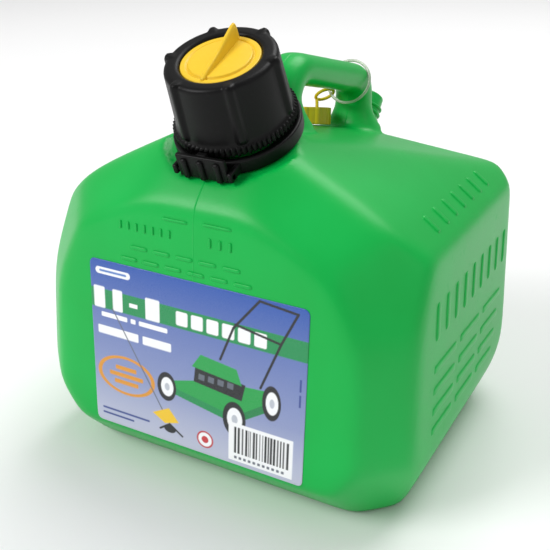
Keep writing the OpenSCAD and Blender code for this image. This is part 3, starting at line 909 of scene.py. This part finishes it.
@dataclass
class RaisedBars:
    """Plain raised bars on the body, in rows where a maker would put markings; none of them is a letter."""

    shop: Workshop
    form: SoftForm
    height: float = 0.75
    sink: float = 1.1

    def bar(self, start: np.ndarray, end: np.ndarray, width: float) -> Patch:
        """A round-ended bar that follows the skin.

        At the share s of its length, half its width is w sqrt(1 - e^2), e being how far s is into the
        round end; its height is h (1 - t^6) (1 - s^12) over the skin, t running across it.

        Args:
            start: one end's middle.
            end: the other end's middle.
            width: full width.

        Returns:
            The closed bar.
        """
        rows, columns = 22, 11
        length = float(np.linalg.norm(end - start))
        s = np.sin(np.linspace(-1, 1, rows) * math.pi / 2)
        t = np.sin(np.linspace(-1, 1, columns) * math.pi / 2)
        middle = self.form.on((start + end) / 2)
        n = self.form.normal(middle)
        along = (end - start) / length
        across = np.cross(n, along)
        across /= np.linalg.norm(across)
        cap = min(width / 2, length / 2)
        into = np.clip((np.abs(s) * length / 2 - (length / 2 - cap)) / cap, 0, 1)
        half = width / 2 * np.sqrt(np.maximum(1 - into ** 2, 0.02))
        sideways = (half[:, None] * t[None, :])[..., None] * across
        flat = (start + end) / 2 + s[:, None, None] * along * length / 2 + sideways
        skin = self.form.on(flat)
        lift = (1 - np.abs(t[None, :]) ** 6) * (1 - np.abs(s[:, None]) ** 12)
        out = self.form.normal(skin)
        top = skin + out * (lift * (self.height + self.sink) - self.sink)[..., None]
        return slab(top, skin - out * (self.sink + 0.3))

    def row(
        self, start: Sequence[float], end: Sequence[float], tall: float, blocks: Sequence[float], stroke: float,
    ) -> list[Patch]:
        """A row of upright bars between two points.

        Args:
            start: the row's first end, at mid height.
            end: its last end.
            tall: height of the bars.
            blocks: places along the row, from 0 to 1.
            stroke: width of a bar.

        Returns:
            The bars.
        """
        a, b = np.array(start, float), np.array(end, float)
        way = (b - a) / np.linalg.norm(b - a)
        n = self.form.normal(self.form.on((a + b) / 2))
        rise = np.cross(n, way)
        rise /= np.linalg.norm(rise)
        half = rise * tall / 2
        return [self.bar(a + (b - a) * p - half, a + (b - a) * p + half, stroke) for p in blocks]

    def build(self) -> None:
        """Makes the fill marks and the plain rows on the front and on the right side."""
        v = np.array
        front = [
            self.bar(v([-17.5, -91, 145.2]), v([-2.5, -91, 145.2]), 1.6),
            self.bar(v([4.5, -91, 146.2]), v([21.0, -91, 146.2]), 1.6),
        ]
        front += self.row([-41, -91, 137.6], [-13, -91, 137.6], 4.4, np.linspace(0, 1, 7), 1.5)
        front += self.row([9, -91, 137.6], [21, -91, 137.6], 5.0, (0.0, 0.45, 0.9), 1.7)
        for z, x0, x1, parts in ((127.6, -37, 27, 5), (121.0, -43, 33, 6)):
            edges = np.linspace(x0, x1, parts + 1)
            spans = zip(edges[:-1], edges[1:])
            front += [self.bar(v([p + 1.2, -92, z]), v([q - 1.2, -92, z]), 2.3) for p, q in spans]
        side = self.row([91.5, -30, 142.5], [91.5, 50, 142.5], 12.0, np.linspace(0, 1, 7), 4.2)
        side += self.row([104.5, -47, 102.5], [104.5, 66, 100.5], 21.0, np.linspace(0, 1, 9), 5.0)
        for k, (z0, z1) in enumerate(((78.0, 74.0), (66.5, 62.5), (55.5, 51.5), (45.0, 41.5))):
            edges = np.linspace(-53, 67 - 4 * k, 4)
            rise = np.interp(edges, [-53, 67], [z0, z1])
            side += [
                self.bar(v([106, p + 1.5, zp]), v([106, q - 1.5, zq]), 5.2)
                for p, q, zp, zq in zip(edges[:-1], edges[1:], rise[:-1], rise[1:])
            ]
        self.shop.piece("front_marks", joined(front), Body.CAN, GREEN, "green_shell")
        self.shop.piece("side_marks", joined(side), Body.CAN, GREEN, "green_shell")


# ---------------------------------------------------------------- label


@dataclass
class Artwork:
    """A picture kept as one colour for each point of a grid; u runs right and v up, in millimetres."""

    u: np.ndarray
    v: np.ndarray
    soft: float = 0.3

    def __post_init__(self) -> None:
        """Starts with black everywhere."""
        self.colour = np.zeros((*self.u.shape, 3))

    def lay(self, distance: np.ndarray, colour: Sequence[float], strength: float = 1.0) -> None:
        """Paints where a signed distance is negative, with an edge as wide as soft."""
        share = np.clip(0.5 - distance / self.soft, 0, 1)[..., None] * strength
        self.colour = self.colour * (1 - share) + np.array(colour) * share

    def turned(self, cu: float, cv: float, degrees: float) -> tuple[np.ndarray, np.ndarray]:
        """Coordinates about a centre, turned by an angle."""
        a = math.radians(degrees)
        x, y = self.u - cu, self.v - cv
        return x * math.cos(a) + y * math.sin(a), -x * math.sin(a) + y * math.cos(a)

    def block(
        self, cu: float, cv: float, w: float, h: float, colour: Sequence[float], turn: float = 0.0,
        round_r: float = 0.3,
    ) -> None:
        """A filled rectangle with round corners: distance max(|x| - w/2 + r, |y| - h/2 + r, 0) - r."""
        x, y = self.turned(cu, cv, turn)
        dx, dy = np.abs(x) - w / 2 + round_r, np.abs(y) - h / 2 + round_r
        outside = np.hypot(np.maximum(dx, 0), np.maximum(dy, 0))
        self.lay(outside + np.minimum(np.maximum(dx, dy), 0) - round_r, colour)

    def oval(
        self, cu: float, cv: float, a: float, b: float, colour: Sequence[float], turn: float = 0.0,
        line: float = 0.0,
    ) -> None:
        """A filled oval, or its outline when line is its width."""
        x, y = self.turned(cu, cv, turn)
        distance = (np.hypot(x / a, y / b) - 1) * min(a, b)
        self.lay(np.abs(distance) - line / 2 if line else distance, colour)

    def stroke(self, points: Sequence[tuple[float, float]], width: float, colour: Sequence[float]) -> None:
        """A bent line with round ends: the distance to its nearest segment, less half its width."""
        for (a, b), (c, d) in zip(points[:-1], points[1:]):
            du, dv = c - a, d - b
            t = np.clip(((self.u - a) * du + (self.v - b) * dv) / (du * du + dv * dv), 0, 1)
            self.lay(np.hypot(self.u - a - t * du, self.v - b - t * dv) - width / 2, colour)

    def shape(self, corners: Sequence[tuple[float, float]], colour: Sequence[float]) -> None:
        """A filled convex shape, its corners listed counter-clockwise."""
        distance = np.full(self.u.shape, -1e9)
        for (a, b), (c, d) in zip(corners, [*corners[1:], corners[0]]):
            size = math.hypot(c - a, d - b)
            distance = np.maximum(distance, ((self.u - a) * (d - b) - (self.v - b) * (c - a)) / size)
        self.lay(distance, colour)


@dataclass
class Label:
    """The front label: film with a generic picture of lawn tools and plain bars in place of any wording."""

    shop: Workshop
    form: SoftForm
    width: float = 121.5
    tall: float = 92.0
    base_z: float = 25.2
    corner: float = 3.0
    lift: float = 0.4
    columns: int = 336
    rows: int = 254

    def grid(self) -> tuple[np.ndarray, np.ndarray]:
        """Label coordinates on a grid whose columns are shorter by r - sqrt(r^2 - (r - e)^2) near the ends."""
        u = np.linspace(0, self.width, self.columns)
        edge = np.minimum(np.minimum(u, self.width - u), self.corner)
        cut = self.corner - np.sqrt(np.maximum(self.corner ** 2 - (self.corner - edge) ** 2, 0))
        t = np.linspace(0, 1, self.rows)
        v = cut[:, None] + t[None, :] * (self.tall - 2 * cut[:, None])
        return np.broadcast_to(u[:, None], v.shape).copy(), v

    def picture(self, u: np.ndarray, v: np.ndarray) -> np.ndarray:
        """The printed artwork."""
        art = Artwork(u, v)
        fade = np.clip(v / self.tall, 0, 1)[..., None]
        art.colour = np.array(linear(168, 176, 206)) * (1 - fade) + np.array(linear(34, 84, 172)) * fade
        low = np.clip(1 - v / 30.0, 0, 1)[..., None] * 0.5
        art.colour = art.colour * (1 - low) + np.array(linear(212, 214, 224)) * low
        white, navy = linear(248, 250, 252), linear(36, 62, 140)
        green, leaf = linear(6, 142, 78), linear(14, 160, 70)
        black, grey = linear(18, 20, 24), linear(96, 104, 116)
        art.block(60.75, 71.4, 124, 10.4, green)
        for place, w in ((5.2, 6.8), (16.4, 6.0), (37.4, 8.4)):
            art.block(place, 72.0, w, 11.6, white, round_r=0.8)
        art.block(26.0, 71.4, 5.0, 2.2, white)
        for k in range(6):
            art.block(54.4 + 8.6 * k, 71.4, 6.6, 7.4, white, round_r=1.0)
        art.block(14.0, 86.4, 21.0, 3.6, white, round_r=1.8)
        art.block(14.0, 86.4, 16.5, 1.1, linear(70, 120, 196), round_r=0.5)
        for start, w, place, height in ((6.0, 16.0, 62.9, 2.6), (24.0, 3.0, 62.9, 2.6), (29.0, 17.0, 62.9, 2.6),
                                        (3.5, 25.0, 54.3, 4.6), (31.0, 17.0, 54.3, 4.6)):
            art.block(start + w / 2, place, w, height, white, round_r=0.7)
        orange = linear(222, 150, 40)
        art.oval(20.0, 31.0, 16.6, 10.2, orange, 0, 1.5)
        for dv, w in ((4.0, 13.0), (0.0, 21.0), (-4.0, 15.0)):
            art.block(20.0, 31.0 + dv, w, 2.4, orange, round_r=0.5)
        art.stroke([(13.0, 67.0), (45.0, 13.5)], 0.7, grey)
        art.shape([(36.0, 15.2), (43.5, 11.0), (52.0, 13.6), (46.0, 20.4)], linear(244, 200, 30))
        art.stroke([(40.5, 7.2), (46.5, 11.4), (54.0, 6.4)], 1.1, black)
        art.oval(46.5, 8.6, 3.6, 2.3, black)
        for line in ([(76, 56), (83, 74), (96.5, 90.6)], [(98, 47), (108, 72), (116.0, 88.6)], [(84, 76), (108, 72)],
                     [(96.5, 90.6), (116.0, 88.6)]):
            art.stroke(line, 1.25, black)
        art.shape([(47, 30), (84, 23.5), (103, 36), (100, 46), (74, 44), (49, 37)], leaf)
        art.shape([(47, 30), (84, 23.5), (84, 27.5), (47, 33.5)], green)
        art.shape([(84, 23.5), (103, 36), (102, 40), (84, 27.5)], linear(14, 130, 70))
        art.shape([(61, 40), (88, 37), (90, 46), (62, 49)], black)
        art.shape([(60, 48), (88, 45), (85, 53), (65, 55.5)], leaf)
        for k in range(4):
            art.block(65.5 + 5.4 * k, 43.4, 3.4, 3.2, grey, -5)
        for cu, cv, a, b in ((45, 32.4, 5.6, 8.0), (84, 26.0, 6.4, 9.4), (104, 40.5, 5.0, 9.2)):
            art.oval(cu, cv, a, b, black)
            art.oval(cu + 0.3, cv, a * 0.66, b * 0.66, white)
            art.oval(cu + 0.3, cv, a * 0.26, b * 0.26, linear(190, 196, 206))
        art.oval(67.5, 9.2, 4.8, 4.8, linear(190, 44, 52))
        art.oval(67.5, 9.2, 3.9, 3.9, white)
        art.oval(67.5, 9.2, 2.0, 2.0, linear(200, 50, 56))
        art.block(98.6, 13.4, 35.0, 21.4, white)
        rng = np.random.default_rng(7)
        place = 84.2
        while place < 113.2:
            wide = float(rng.choice([0.45, 0.8, 1.2]))
            art.block(place + wide / 2, 14.8, wide, 14.6, black, round_r=0.05)
            place += wide + float(rng.choice([0.5, 0.8, 1.1]))
        for k in range(11):
            art.block(85.0 + 2.6 * k, 5.0, 1.5, 1.5, grey)
        for dv, w in ((8.9, 30.0), (5.9, 20.0)):
            art.block(4.0 + w / 2, dv, w, 1.1, navy)
        for dv in (46.0, 54.0):
            art.block(118.6, dv, 0.9, 6.4, navy)
        return art.colour

    def build(self) -> None:
        """Makes the label as a thin sheet lying on the soft front wall."""
        u, v = self.grid()
        z = self.base_z + v
        flat = np.stack([u - self.width / 2, -self.form.depth / 2 + 0.0437 * z, z], -1)
        skin = self.form.on(flat)
        out = self.form.normal(skin)
        e = np.minimum(np.minimum(u, self.width - u), np.minimum(v, self.tall - v))
        top = skin + out * (self.lift - 0.12 * np.exp(-e / 0.5))[..., None]
        rows, columns = top.shape[:2]
        ids = np.arange(rows * columns).reshape(rows, columns)
        border = np.concatenate([ids[0, :-1], ids[:-1, -1], ids[-1, :0:-1], ids[:0:-1, 0]])
        count = rows * columns
        outer = top.reshape(-1, 3)
        points = np.concatenate([outer, (skin - out * 0.3).reshape(-1, 3)[border], outer.mean(0)[None]
                                 + np.array([[0, 1.6, 0]])])
        j = np.arange(len(border))
        k = (j + 1) % len(border)
        band = np.stack([border[j], border[k], count + k, count + j], -1)
        fan = np.stack([count + j, count + k, np.full(len(j), count + len(j))], -1)
        face = grid_quads(rows, columns, False, False)
        a, b = top[1, 0] - top[0, 0], top[0, 1] - top[0, 0]
        if np.dot(np.cross(a, b), out[0, 0]) < 0:
            face = face[:, ::-1]
        picture = self.picture(u, v).reshape(-1, 3)
        colours = np.concatenate([picture, picture[border], picture[:1]])
        patch = Patch(points, np.concatenate([face, self.agreed(face, band)]), fan, colours)
        patch.tris = self.agreed_fan(patch.quads[len(face):], fan)
        self.shop.piece("label_film", patch, Body.CAN, FILM, "printed_label", ["front_label"])

    @staticmethod
    def agreed(face: np.ndarray, band: np.ndarray) -> np.ndarray:
        """The band turned so that it runs each shared edge the other way from the face."""
        first = tuple(band[0][:2])
        edges = np.concatenate([face[:, [i, (i + 1) % 4]] for i in range(4)])
        same = bool(((edges[:, 0] == first[0]) & (edges[:, 1] == first[1])).any())
        return band[:, ::-1] if same else band

    @staticmethod
    def agreed_fan(band: np.ndarray, fan: np.ndarray) -> np.ndarray:
        """The underside's fan turned to agree with the band."""
        first = tuple(fan[0][:2])
        edges = np.concatenate([band[:, [i, (i + 1) % 4]] for i in range(4)])
        same = bool(((edges[:, 0] == first[0]) & (edges[:, 1] == first[1])).any())
        return fan[:, ::-1] if same else fan


# ---------------------------------------------------------------- closure


@dataclass
class Closure:
    """The child-resistant closure: ribbed collar, yellow stopper, lock ring and push tab."""

    shop: Workshop
    neck: Frame
    top_r: float = 26.2
    low_r: float = 27.7
    skirt_r: float = 28.2
    skirt_z: float = 8.9
    top_z: float = 42.4
    bore_r: float = 22.5
    window_r: float = 19.0
    teeth: int = 72
    lobes: int = 6
    lobe_turn: float = 7.0
    ring_r: float = 31.0
    ring_h: float = 7.5

    def collar(self) -> None:
        """The collar's skin: a closed profile turned round the neck.

        Its radius grows by a rounded hump at each of six lobes, h exp(-(w / 3.2 degrees)^4), and below
        the skirt's step by a saw tooth, one minus the share of the tooth's pitch, 72 times round.
        """
        sides = 720
        under = self.top_z - 2.6
        corners = [
            (self.bore_r, self.skirt_z), (self.skirt_r + 0.1, self.skirt_z),
            (self.skirt_r + 0.1, self.skirt_z + 4.3),
            (self.low_r, self.skirt_z + 5.6), (self.top_r, self.top_z - 1.2), (self.top_r - 1.6, self.top_z),
            (self.window_r + 1.2, self.top_z), (self.window_r, self.top_z - 1.0), (self.window_r, under),
            (self.bore_r, under),
        ]
        line = dense(softened(corners, 1.1, 5), 1.1)
        a = np.arange(sides) * TURN / sides
        r, z = line[:, 0], line[:, 1]
        outside = (r > self.bore_r + 1.5) & (z > self.skirt_z + 4.6)
        climb = np.clip((z - self.skirt_z - 4.6) / 2.0, 0, 1)
        shoulder = np.clip((r - self.window_r - 3.2) / 2.6, 0, 1)
        pitch = 360.0 / self.lobes
        off = (np.degrees(a) - self.lobe_turn + pitch / 2) % pitch - pitch / 2
        hump = np.exp(-(np.abs(off) / 4.6) ** 3.2)
        grow = 1.9 * hump[:, None] * (outside * climb * shoulder)[None, :]
        tooth = (a[:, None] * self.teeth / TURN) % 1.0
        bite = np.clip((self.skirt_z + 4.3 - z) / 0.4, 0, 1) * (r > self.skirt_r - 0.4) * (z > self.skirt_z + 0.01)
        grow = grow + 1.75 * np.minimum(1 - tooth, tooth * 9) * bite[None, :]
        body = revolved(line, sides, grow)
        raise_z = 0.75 * hump[:, None] * np.clip((z - self.top_z + 1.6) / 1.2, 0, 1)[None, :] * shoulder[None, :]
        body.points[:, 2] += raise_z.reshape(-1)
        thread = helix_ridge(self.bore_r, 5.0, 20.25, 2.0, 1.3, -1)
        parts = joined([body.moved(self.neck), thread.moved(self.neck)])
        self.shop.piece("ribbed_collar", parts, Body.COLLAR, BLACK, "black_closure", ["screw_collar"])

    def stopper(self) -> None:
        """The stopper: a disc with a raised round field, a small rim groove and a tapering finger fin."""
        z0 = self.top_z - 5.0
        top = z0 + 4.0
        r = self.window_r - 0.4
        corners = [
            (0.01, z0), (21.8, z0), (21.8, z0 + 2.4), (r, z0 + 2.4), (r, top), (r - 2.4, top),
            (r - 2.9, top - 0.5),
            (r - 3.4, top - 0.5), (r - 3.9, top + 0.55), (0.01, top + 0.55),
        ]
        disc = lathe(softened(corners, 0.45, 4, False), 160)
        self.shop.piece(
            "stopper_face", joined([disc.moved(self.neck), self.fin(top).moved(self.neck)]), Body.STOPPER, YELLOW,
            "yellow_stopper", ["stopper_disc"],
        )

    def fin(self, top: float) -> Patch:
        """The finger fin: a rounded section whose height falls from the rear to the front.

        At y the fin's height is a smooth curve through its rear peak and its low front; across it,
        the section is |x / w|^4 + |z / h|^4 = 1 above the disc.
        """
        y = np.linspace(-17.0, 17.3, 60)
        peak = np.interp(y, [-17.0, -14, 0, 8, 14, 16.4, 17.3], [0.6, 1.9, 4.3, 6.6, 8.2, 8.3, 5.6])
        ends = np.sqrt(np.clip(1 - (np.abs(y) / 17.4) ** 16, 0.02, 1))
        a = np.arange(28) * TURN / 28
        x = np.sign(np.cos(a)) * np.abs(np.cos(a)) ** 0.55 * 1.15
        w = np.sign(np.sin(a)) * np.abs(np.sin(a)) ** 0.55
        up = (peak[:, None] + 1.2) / 2 * w[None, :] + (peak[:, None] - 1.2) / 2
        rings = np.stack([
            x[None, :] * ends[:, None] * (1.25 - 0.25 * w[None, :]),
            np.broadcast_to(y[:, None], up.shape), top + up,
        ], -1)
        return capped(rings)

    def ring(self) -> None:
        """The lock ring: a channel round the neck, a rear lug with its stop, and two ears for the tab."""
        corners = [
            (20.75, 0.0), (30.4, 0.0), (31.0, 0.7), (31.0, 7.0), (30.4, 7.5), (28.8, 7.5), (28.8, 2.0),
            (20.75, 2.0),
        ]
        parts = [revolved(dense(softened(corners, 0.5, 4), 1.5), 240)]
        parts.append(rounded_block((-8, 28.6, 1.0), (8, 35.7, 4.5), 0.7))
        parts.append(rounded_block((-8, 31.5, 1.0), (8, 35.7, 13.0), 1.1))
        for x in (-5.0, 0.0, 5.0):
            parts.append(rounded_block((x - 0.8, 34.9, 5.5), (x + 0.8, 36.1, 12.0), 0.5))
        for s in (-1, 1):
            x0, x1 = sorted((s * 13.3, s * 15.8))
            parts.append(rounded_block((x0, -35.7, 1.5), (x1, -24.6, 6.5), 0.9))
        whole = joined([p.moved(self.neck) for p in parts])
        self.shop.piece("lock_band", whole, Body.CAN, BLACK, "black_closure", ["lock_ring"])

    def tab(self) -> None:
        """The push tab: a plate with round edges and three upright finger ribs, hung on its pin."""
        low, high, y = 0.3, 12.6, -32.3
        parts = [rounded_block((-13, y - 2.4, low), (13, y, high), 0.8)]
        for x in (-8.6, 0.0, 8.6):
            parts.append(rounded_block((x - 1.6, y - 4.0, low), (x + 1.6, y - 1.2, high - 1.6), 1.2))
        parts.append(rounded_block((-2.5, y - 0.6, high - 2.6), (2.5, y + 1.9, high), 0.4))
        pin = np.stack([np.linspace(-15.8, 15.8, 12), np.full(12, y - 1.2), np.full(12, 4.0)], -1)
        parts.append(tube(pin, 1.2, 24))
        whole = joined([p.moved(self.neck) for p in parts])
        self.shop.piece("push_plate", whole, Body.TAB, BLACK, "black_closure", ["push_tab"])

    def build(self) -> None:
        """Makes every piece of the closure."""
        self.collar()
        self.stopper()
        self.ring()
        self.tab()


# ---------------------------------------------------------------- vent cap


@dataclass
class Tether:
    """The nylon tie round the handle and the yellow vent cap that hangs on it."""

    shop: Workshop
    tie_centre: tuple[float, float, float] = (0.0, 77.6323, 179.927)
    tie_lean: float = -28.4
    tie_r: float = 12.8
    wire: float = 0.85
    hang: tuple[float, float, float] = (-10.4851, 74.1403, 173.469)
    wire_way: tuple[float, float, float] = (0.573576, -0.389609, -0.720566)
    loop_centre: tuple[float, float, float] = (-13.4341, 73.1582, 171.652)
    loop_r: float = 5.6
    cap: Frame = Frame((-18.0, 61.02, 155.58), -12.68, -5.94)
    cap_r: float = 12.7
    cap_bore: float = 11.2
    cap_h: float = 10.0

    def tie(self) -> None:
        """The tie: a round wire on a circle about the handle's centreline."""
        a = np.arange(96) * TURN / 96
        lean = math.radians(self.tie_lean)
        up = np.array([0, -math.sin(lean), math.cos(lean)])
        path = np.array(self.tie_centre) + self.tie_r * (
            np.cos(a)[:, None] * np.array([1.0, 0, 0]) + np.sin(a)[:, None] * up
        )
        ring = tube(path, self.wire, 18, True)
        self.shop.piece("nylon_tie", ring, Body.TIE, NYLON, "clear_tie", ["tie_ring"])

    def cap_piece(self) -> None:
        """The vent cap: a loop on the tie, a flat strap and a lobed cap.

        The cap's outer radius is r + 0.9 max(0, cos 10 a)^0.7, so it has ten grip lobes.
        """
        way = np.array(self.wire_way)
        centre = np.array(self.loop_centre)
        out = np.array(self.hang) - centre
        out /= np.linalg.norm(out)
        side = np.cross(way, out)
        a = np.arange(64) * TURN / 64
        ring_path = centre + self.loop_r * (np.cos(a)[:, None] * out + np.sin(a)[:, None] * side)
        loop = tube(ring_path, 0.95, 18, True)
        foot = centre - out * self.loop_r
        grip = self.cap.out(np.array([[3.7, 3.7, self.cap_h - 0.9]]))[0]
        t = np.linspace(0, 1, 24)[:, None]
        knee = (foot + grip) / 2 + np.array([0, 0.5, 1.6])
        strap = tube((1 - t) ** 2 * foot + 2 * t * (1 - t) * knee + t ** 2 * grip, 0.95, 16)
        corners = [(self.cap_bore, 0.0), (self.cap_r, 0.0), (self.cap_r, self.cap_h), (0.01, self.cap_h),
                   (0.01, self.cap_h - 1.8), (self.cap_bore, self.cap_h - 1.8)]
        line = dense(softened(corners, 0.7, 4), 1.0)
        b = np.arange(240) * TURN / 240
        lobe = np.maximum(0, np.cos(10 * b)) ** 0.7
        grow = 0.9 * lobe[:, None] * (line[:, 0] > self.cap_bore + 0.6)[None, :]
        cap = revolved(line, 240, grow).moved(self.cap)
        parts = joined([loop, strap, cap])
        self.shop.piece("lobed_vent_cap", parts, Body.VENT_CAP, CAP_YELLOW, "yellow_cap", ["vent_cap"])

    def build(self) -> None:
        """Makes the tie and the cap."""
        self.tie()
        self.cap_piece()


# ---------------------------------------------------------------- studio


@dataclass
class Studio:
    """Floor, lights and the camera."""

    eye: tuple[float, float, float] = (206.37, -395.5, 284.05)
    yaw: float = 0.49386577
    pitch: float = 0.42025097
    roll: float = 0.00959262
    focal_px: float = 866.5
    frame_px: float = 550.0

    def camera(self) -> None:
        """A camera at the eye, turned by yaw about Z, pitched down and rolled."""
        fw = np.array([
            -math.sin(self.yaw) * math.cos(self.pitch),
            math.cos(self.yaw) * math.cos(self.pitch),
            -math.sin(self.pitch),
        ])
        right = np.cross(fw, [0, 0, 1.0])
        right /= np.linalg.norm(right)
        up = np.cross(right, fw)
        c, s = math.cos(self.roll), math.sin(self.roll)
        right, up = c * right + s * up, -s * right + c * up
        data = bpy.data.cameras.new("studio_camera")
        data.sensor_width = 36.0
        data.lens = 36.0 * self.focal_px / self.frame_px
        data.clip_start, data.clip_end = 0.01, 20.0
        obj = bpy.data.objects.new("studio_camera", data)
        bpy.context.scene.collection.objects.link(obj)
        turn = np.stack([right, up, -fw], 1)
        matrix = np.eye(4)
        matrix[:3, :3] = turn
        matrix[:3, 3] = np.array(self.eye) * METRE
        obj.matrix_world = Matrix(matrix.tolist())
        bpy.context.scene.camera = obj

    def light(self, name: str, place: Sequence[float], aim: Sequence[float], size: float, power: float) -> None:
        """A square area light that faces a point.

        Args:
            name: the light's name.
            place: its position in metres.
            aim: the point it faces.
            size: its side in metres.
            power: its power in watts.
        """
        data = bpy.data.lights.new(name, "AREA")
        data.shape, data.size, data.energy = "SQUARE", size, power
        obj = bpy.data.objects.new(name, data)
        bpy.context.scene.collection.objects.link(obj)
        obj.location = place
        obj.rotation_euler = (Vector(aim) - Vector(place)).to_track_quat("-Z", "Y").to_euler()

    def build(self, shop: Workshop) -> None:
        """Makes the floor, the world light, three soft lights and the camera."""
        grid = np.array([[[x, y, 0.0] for y in (-4000, 4000)] for x in (-4000, 4000)], float)
        mesh = bpy_mesh("floor", Patch(grid.reshape(-1, 3), np.array([[0, 2, 3, 1]])))
        floor = bpy.data.objects.new("floor", mesh)
        bpy.context.scene.collection.objects.link(floor)
        shop.dress(floor, Concrete(), "studio_floor")
        world = bpy.data.worlds.new("studio")
        world.use_nodes = True
        world.node_tree.nodes["Background"].inputs[0].default_value = (1, 1, 1, 1)
        world.node_tree.nodes["Background"].inputs[1].default_value = 0.42
        bpy.context.scene.world = world
        bpy.context.scene.view_settings.view_transform = "Standard"
        self.light("key", (-1.5, -2.0, 1.9), (0, 0, 0.12), 1.2, 52)
        self.light("fill", (2.4, -0.6, 1.4), (0, 0, 0.1), 1.5, 4)
        self.light("top", (0.2, 1.4, 2.8), (0, 0.1, 0.1), 2.0, 62)
        self.camera()


CARRIED_OVER = {
    "pouring_spout": (SPOUT_BLACK, "black_spout"),
    "spout_gasket": (RUBBER, "gasket_rubber"),
    "stopper_gasket": (RUBBER, "gasket_rubber"),
    "vent_cap_liner": (FOAM, "white_liner"),
}


def corners(pair: tuple[Any, Any]) -> list[list[float]]:
    """A pair of corner vectors as plain lists."""
    return [[float(v) for v in p] for p in pair]


def main() -> None:
    """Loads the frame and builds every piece."""
    logging.basicConfig(level=logging.INFO, format="%(name)s: %(message)s")
    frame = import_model()
    shop = Workshop()
    Studio().build(shop)
    shell = Shell(shop)
    shell.build()
    RaisedBars(shop, shell.form).build()
    Label(shop, shell.form).build()
    Closure(shop, shell.neck).build()
    Tether(shop).build()
    for node, (finish, slot) in CARRIED_OVER.items():
        shop.dress(frame["nodes"][node], finish, slot)
        LOG.info("%s keeps its CAD shape", node)


if __name__ == "__main__":
    main()
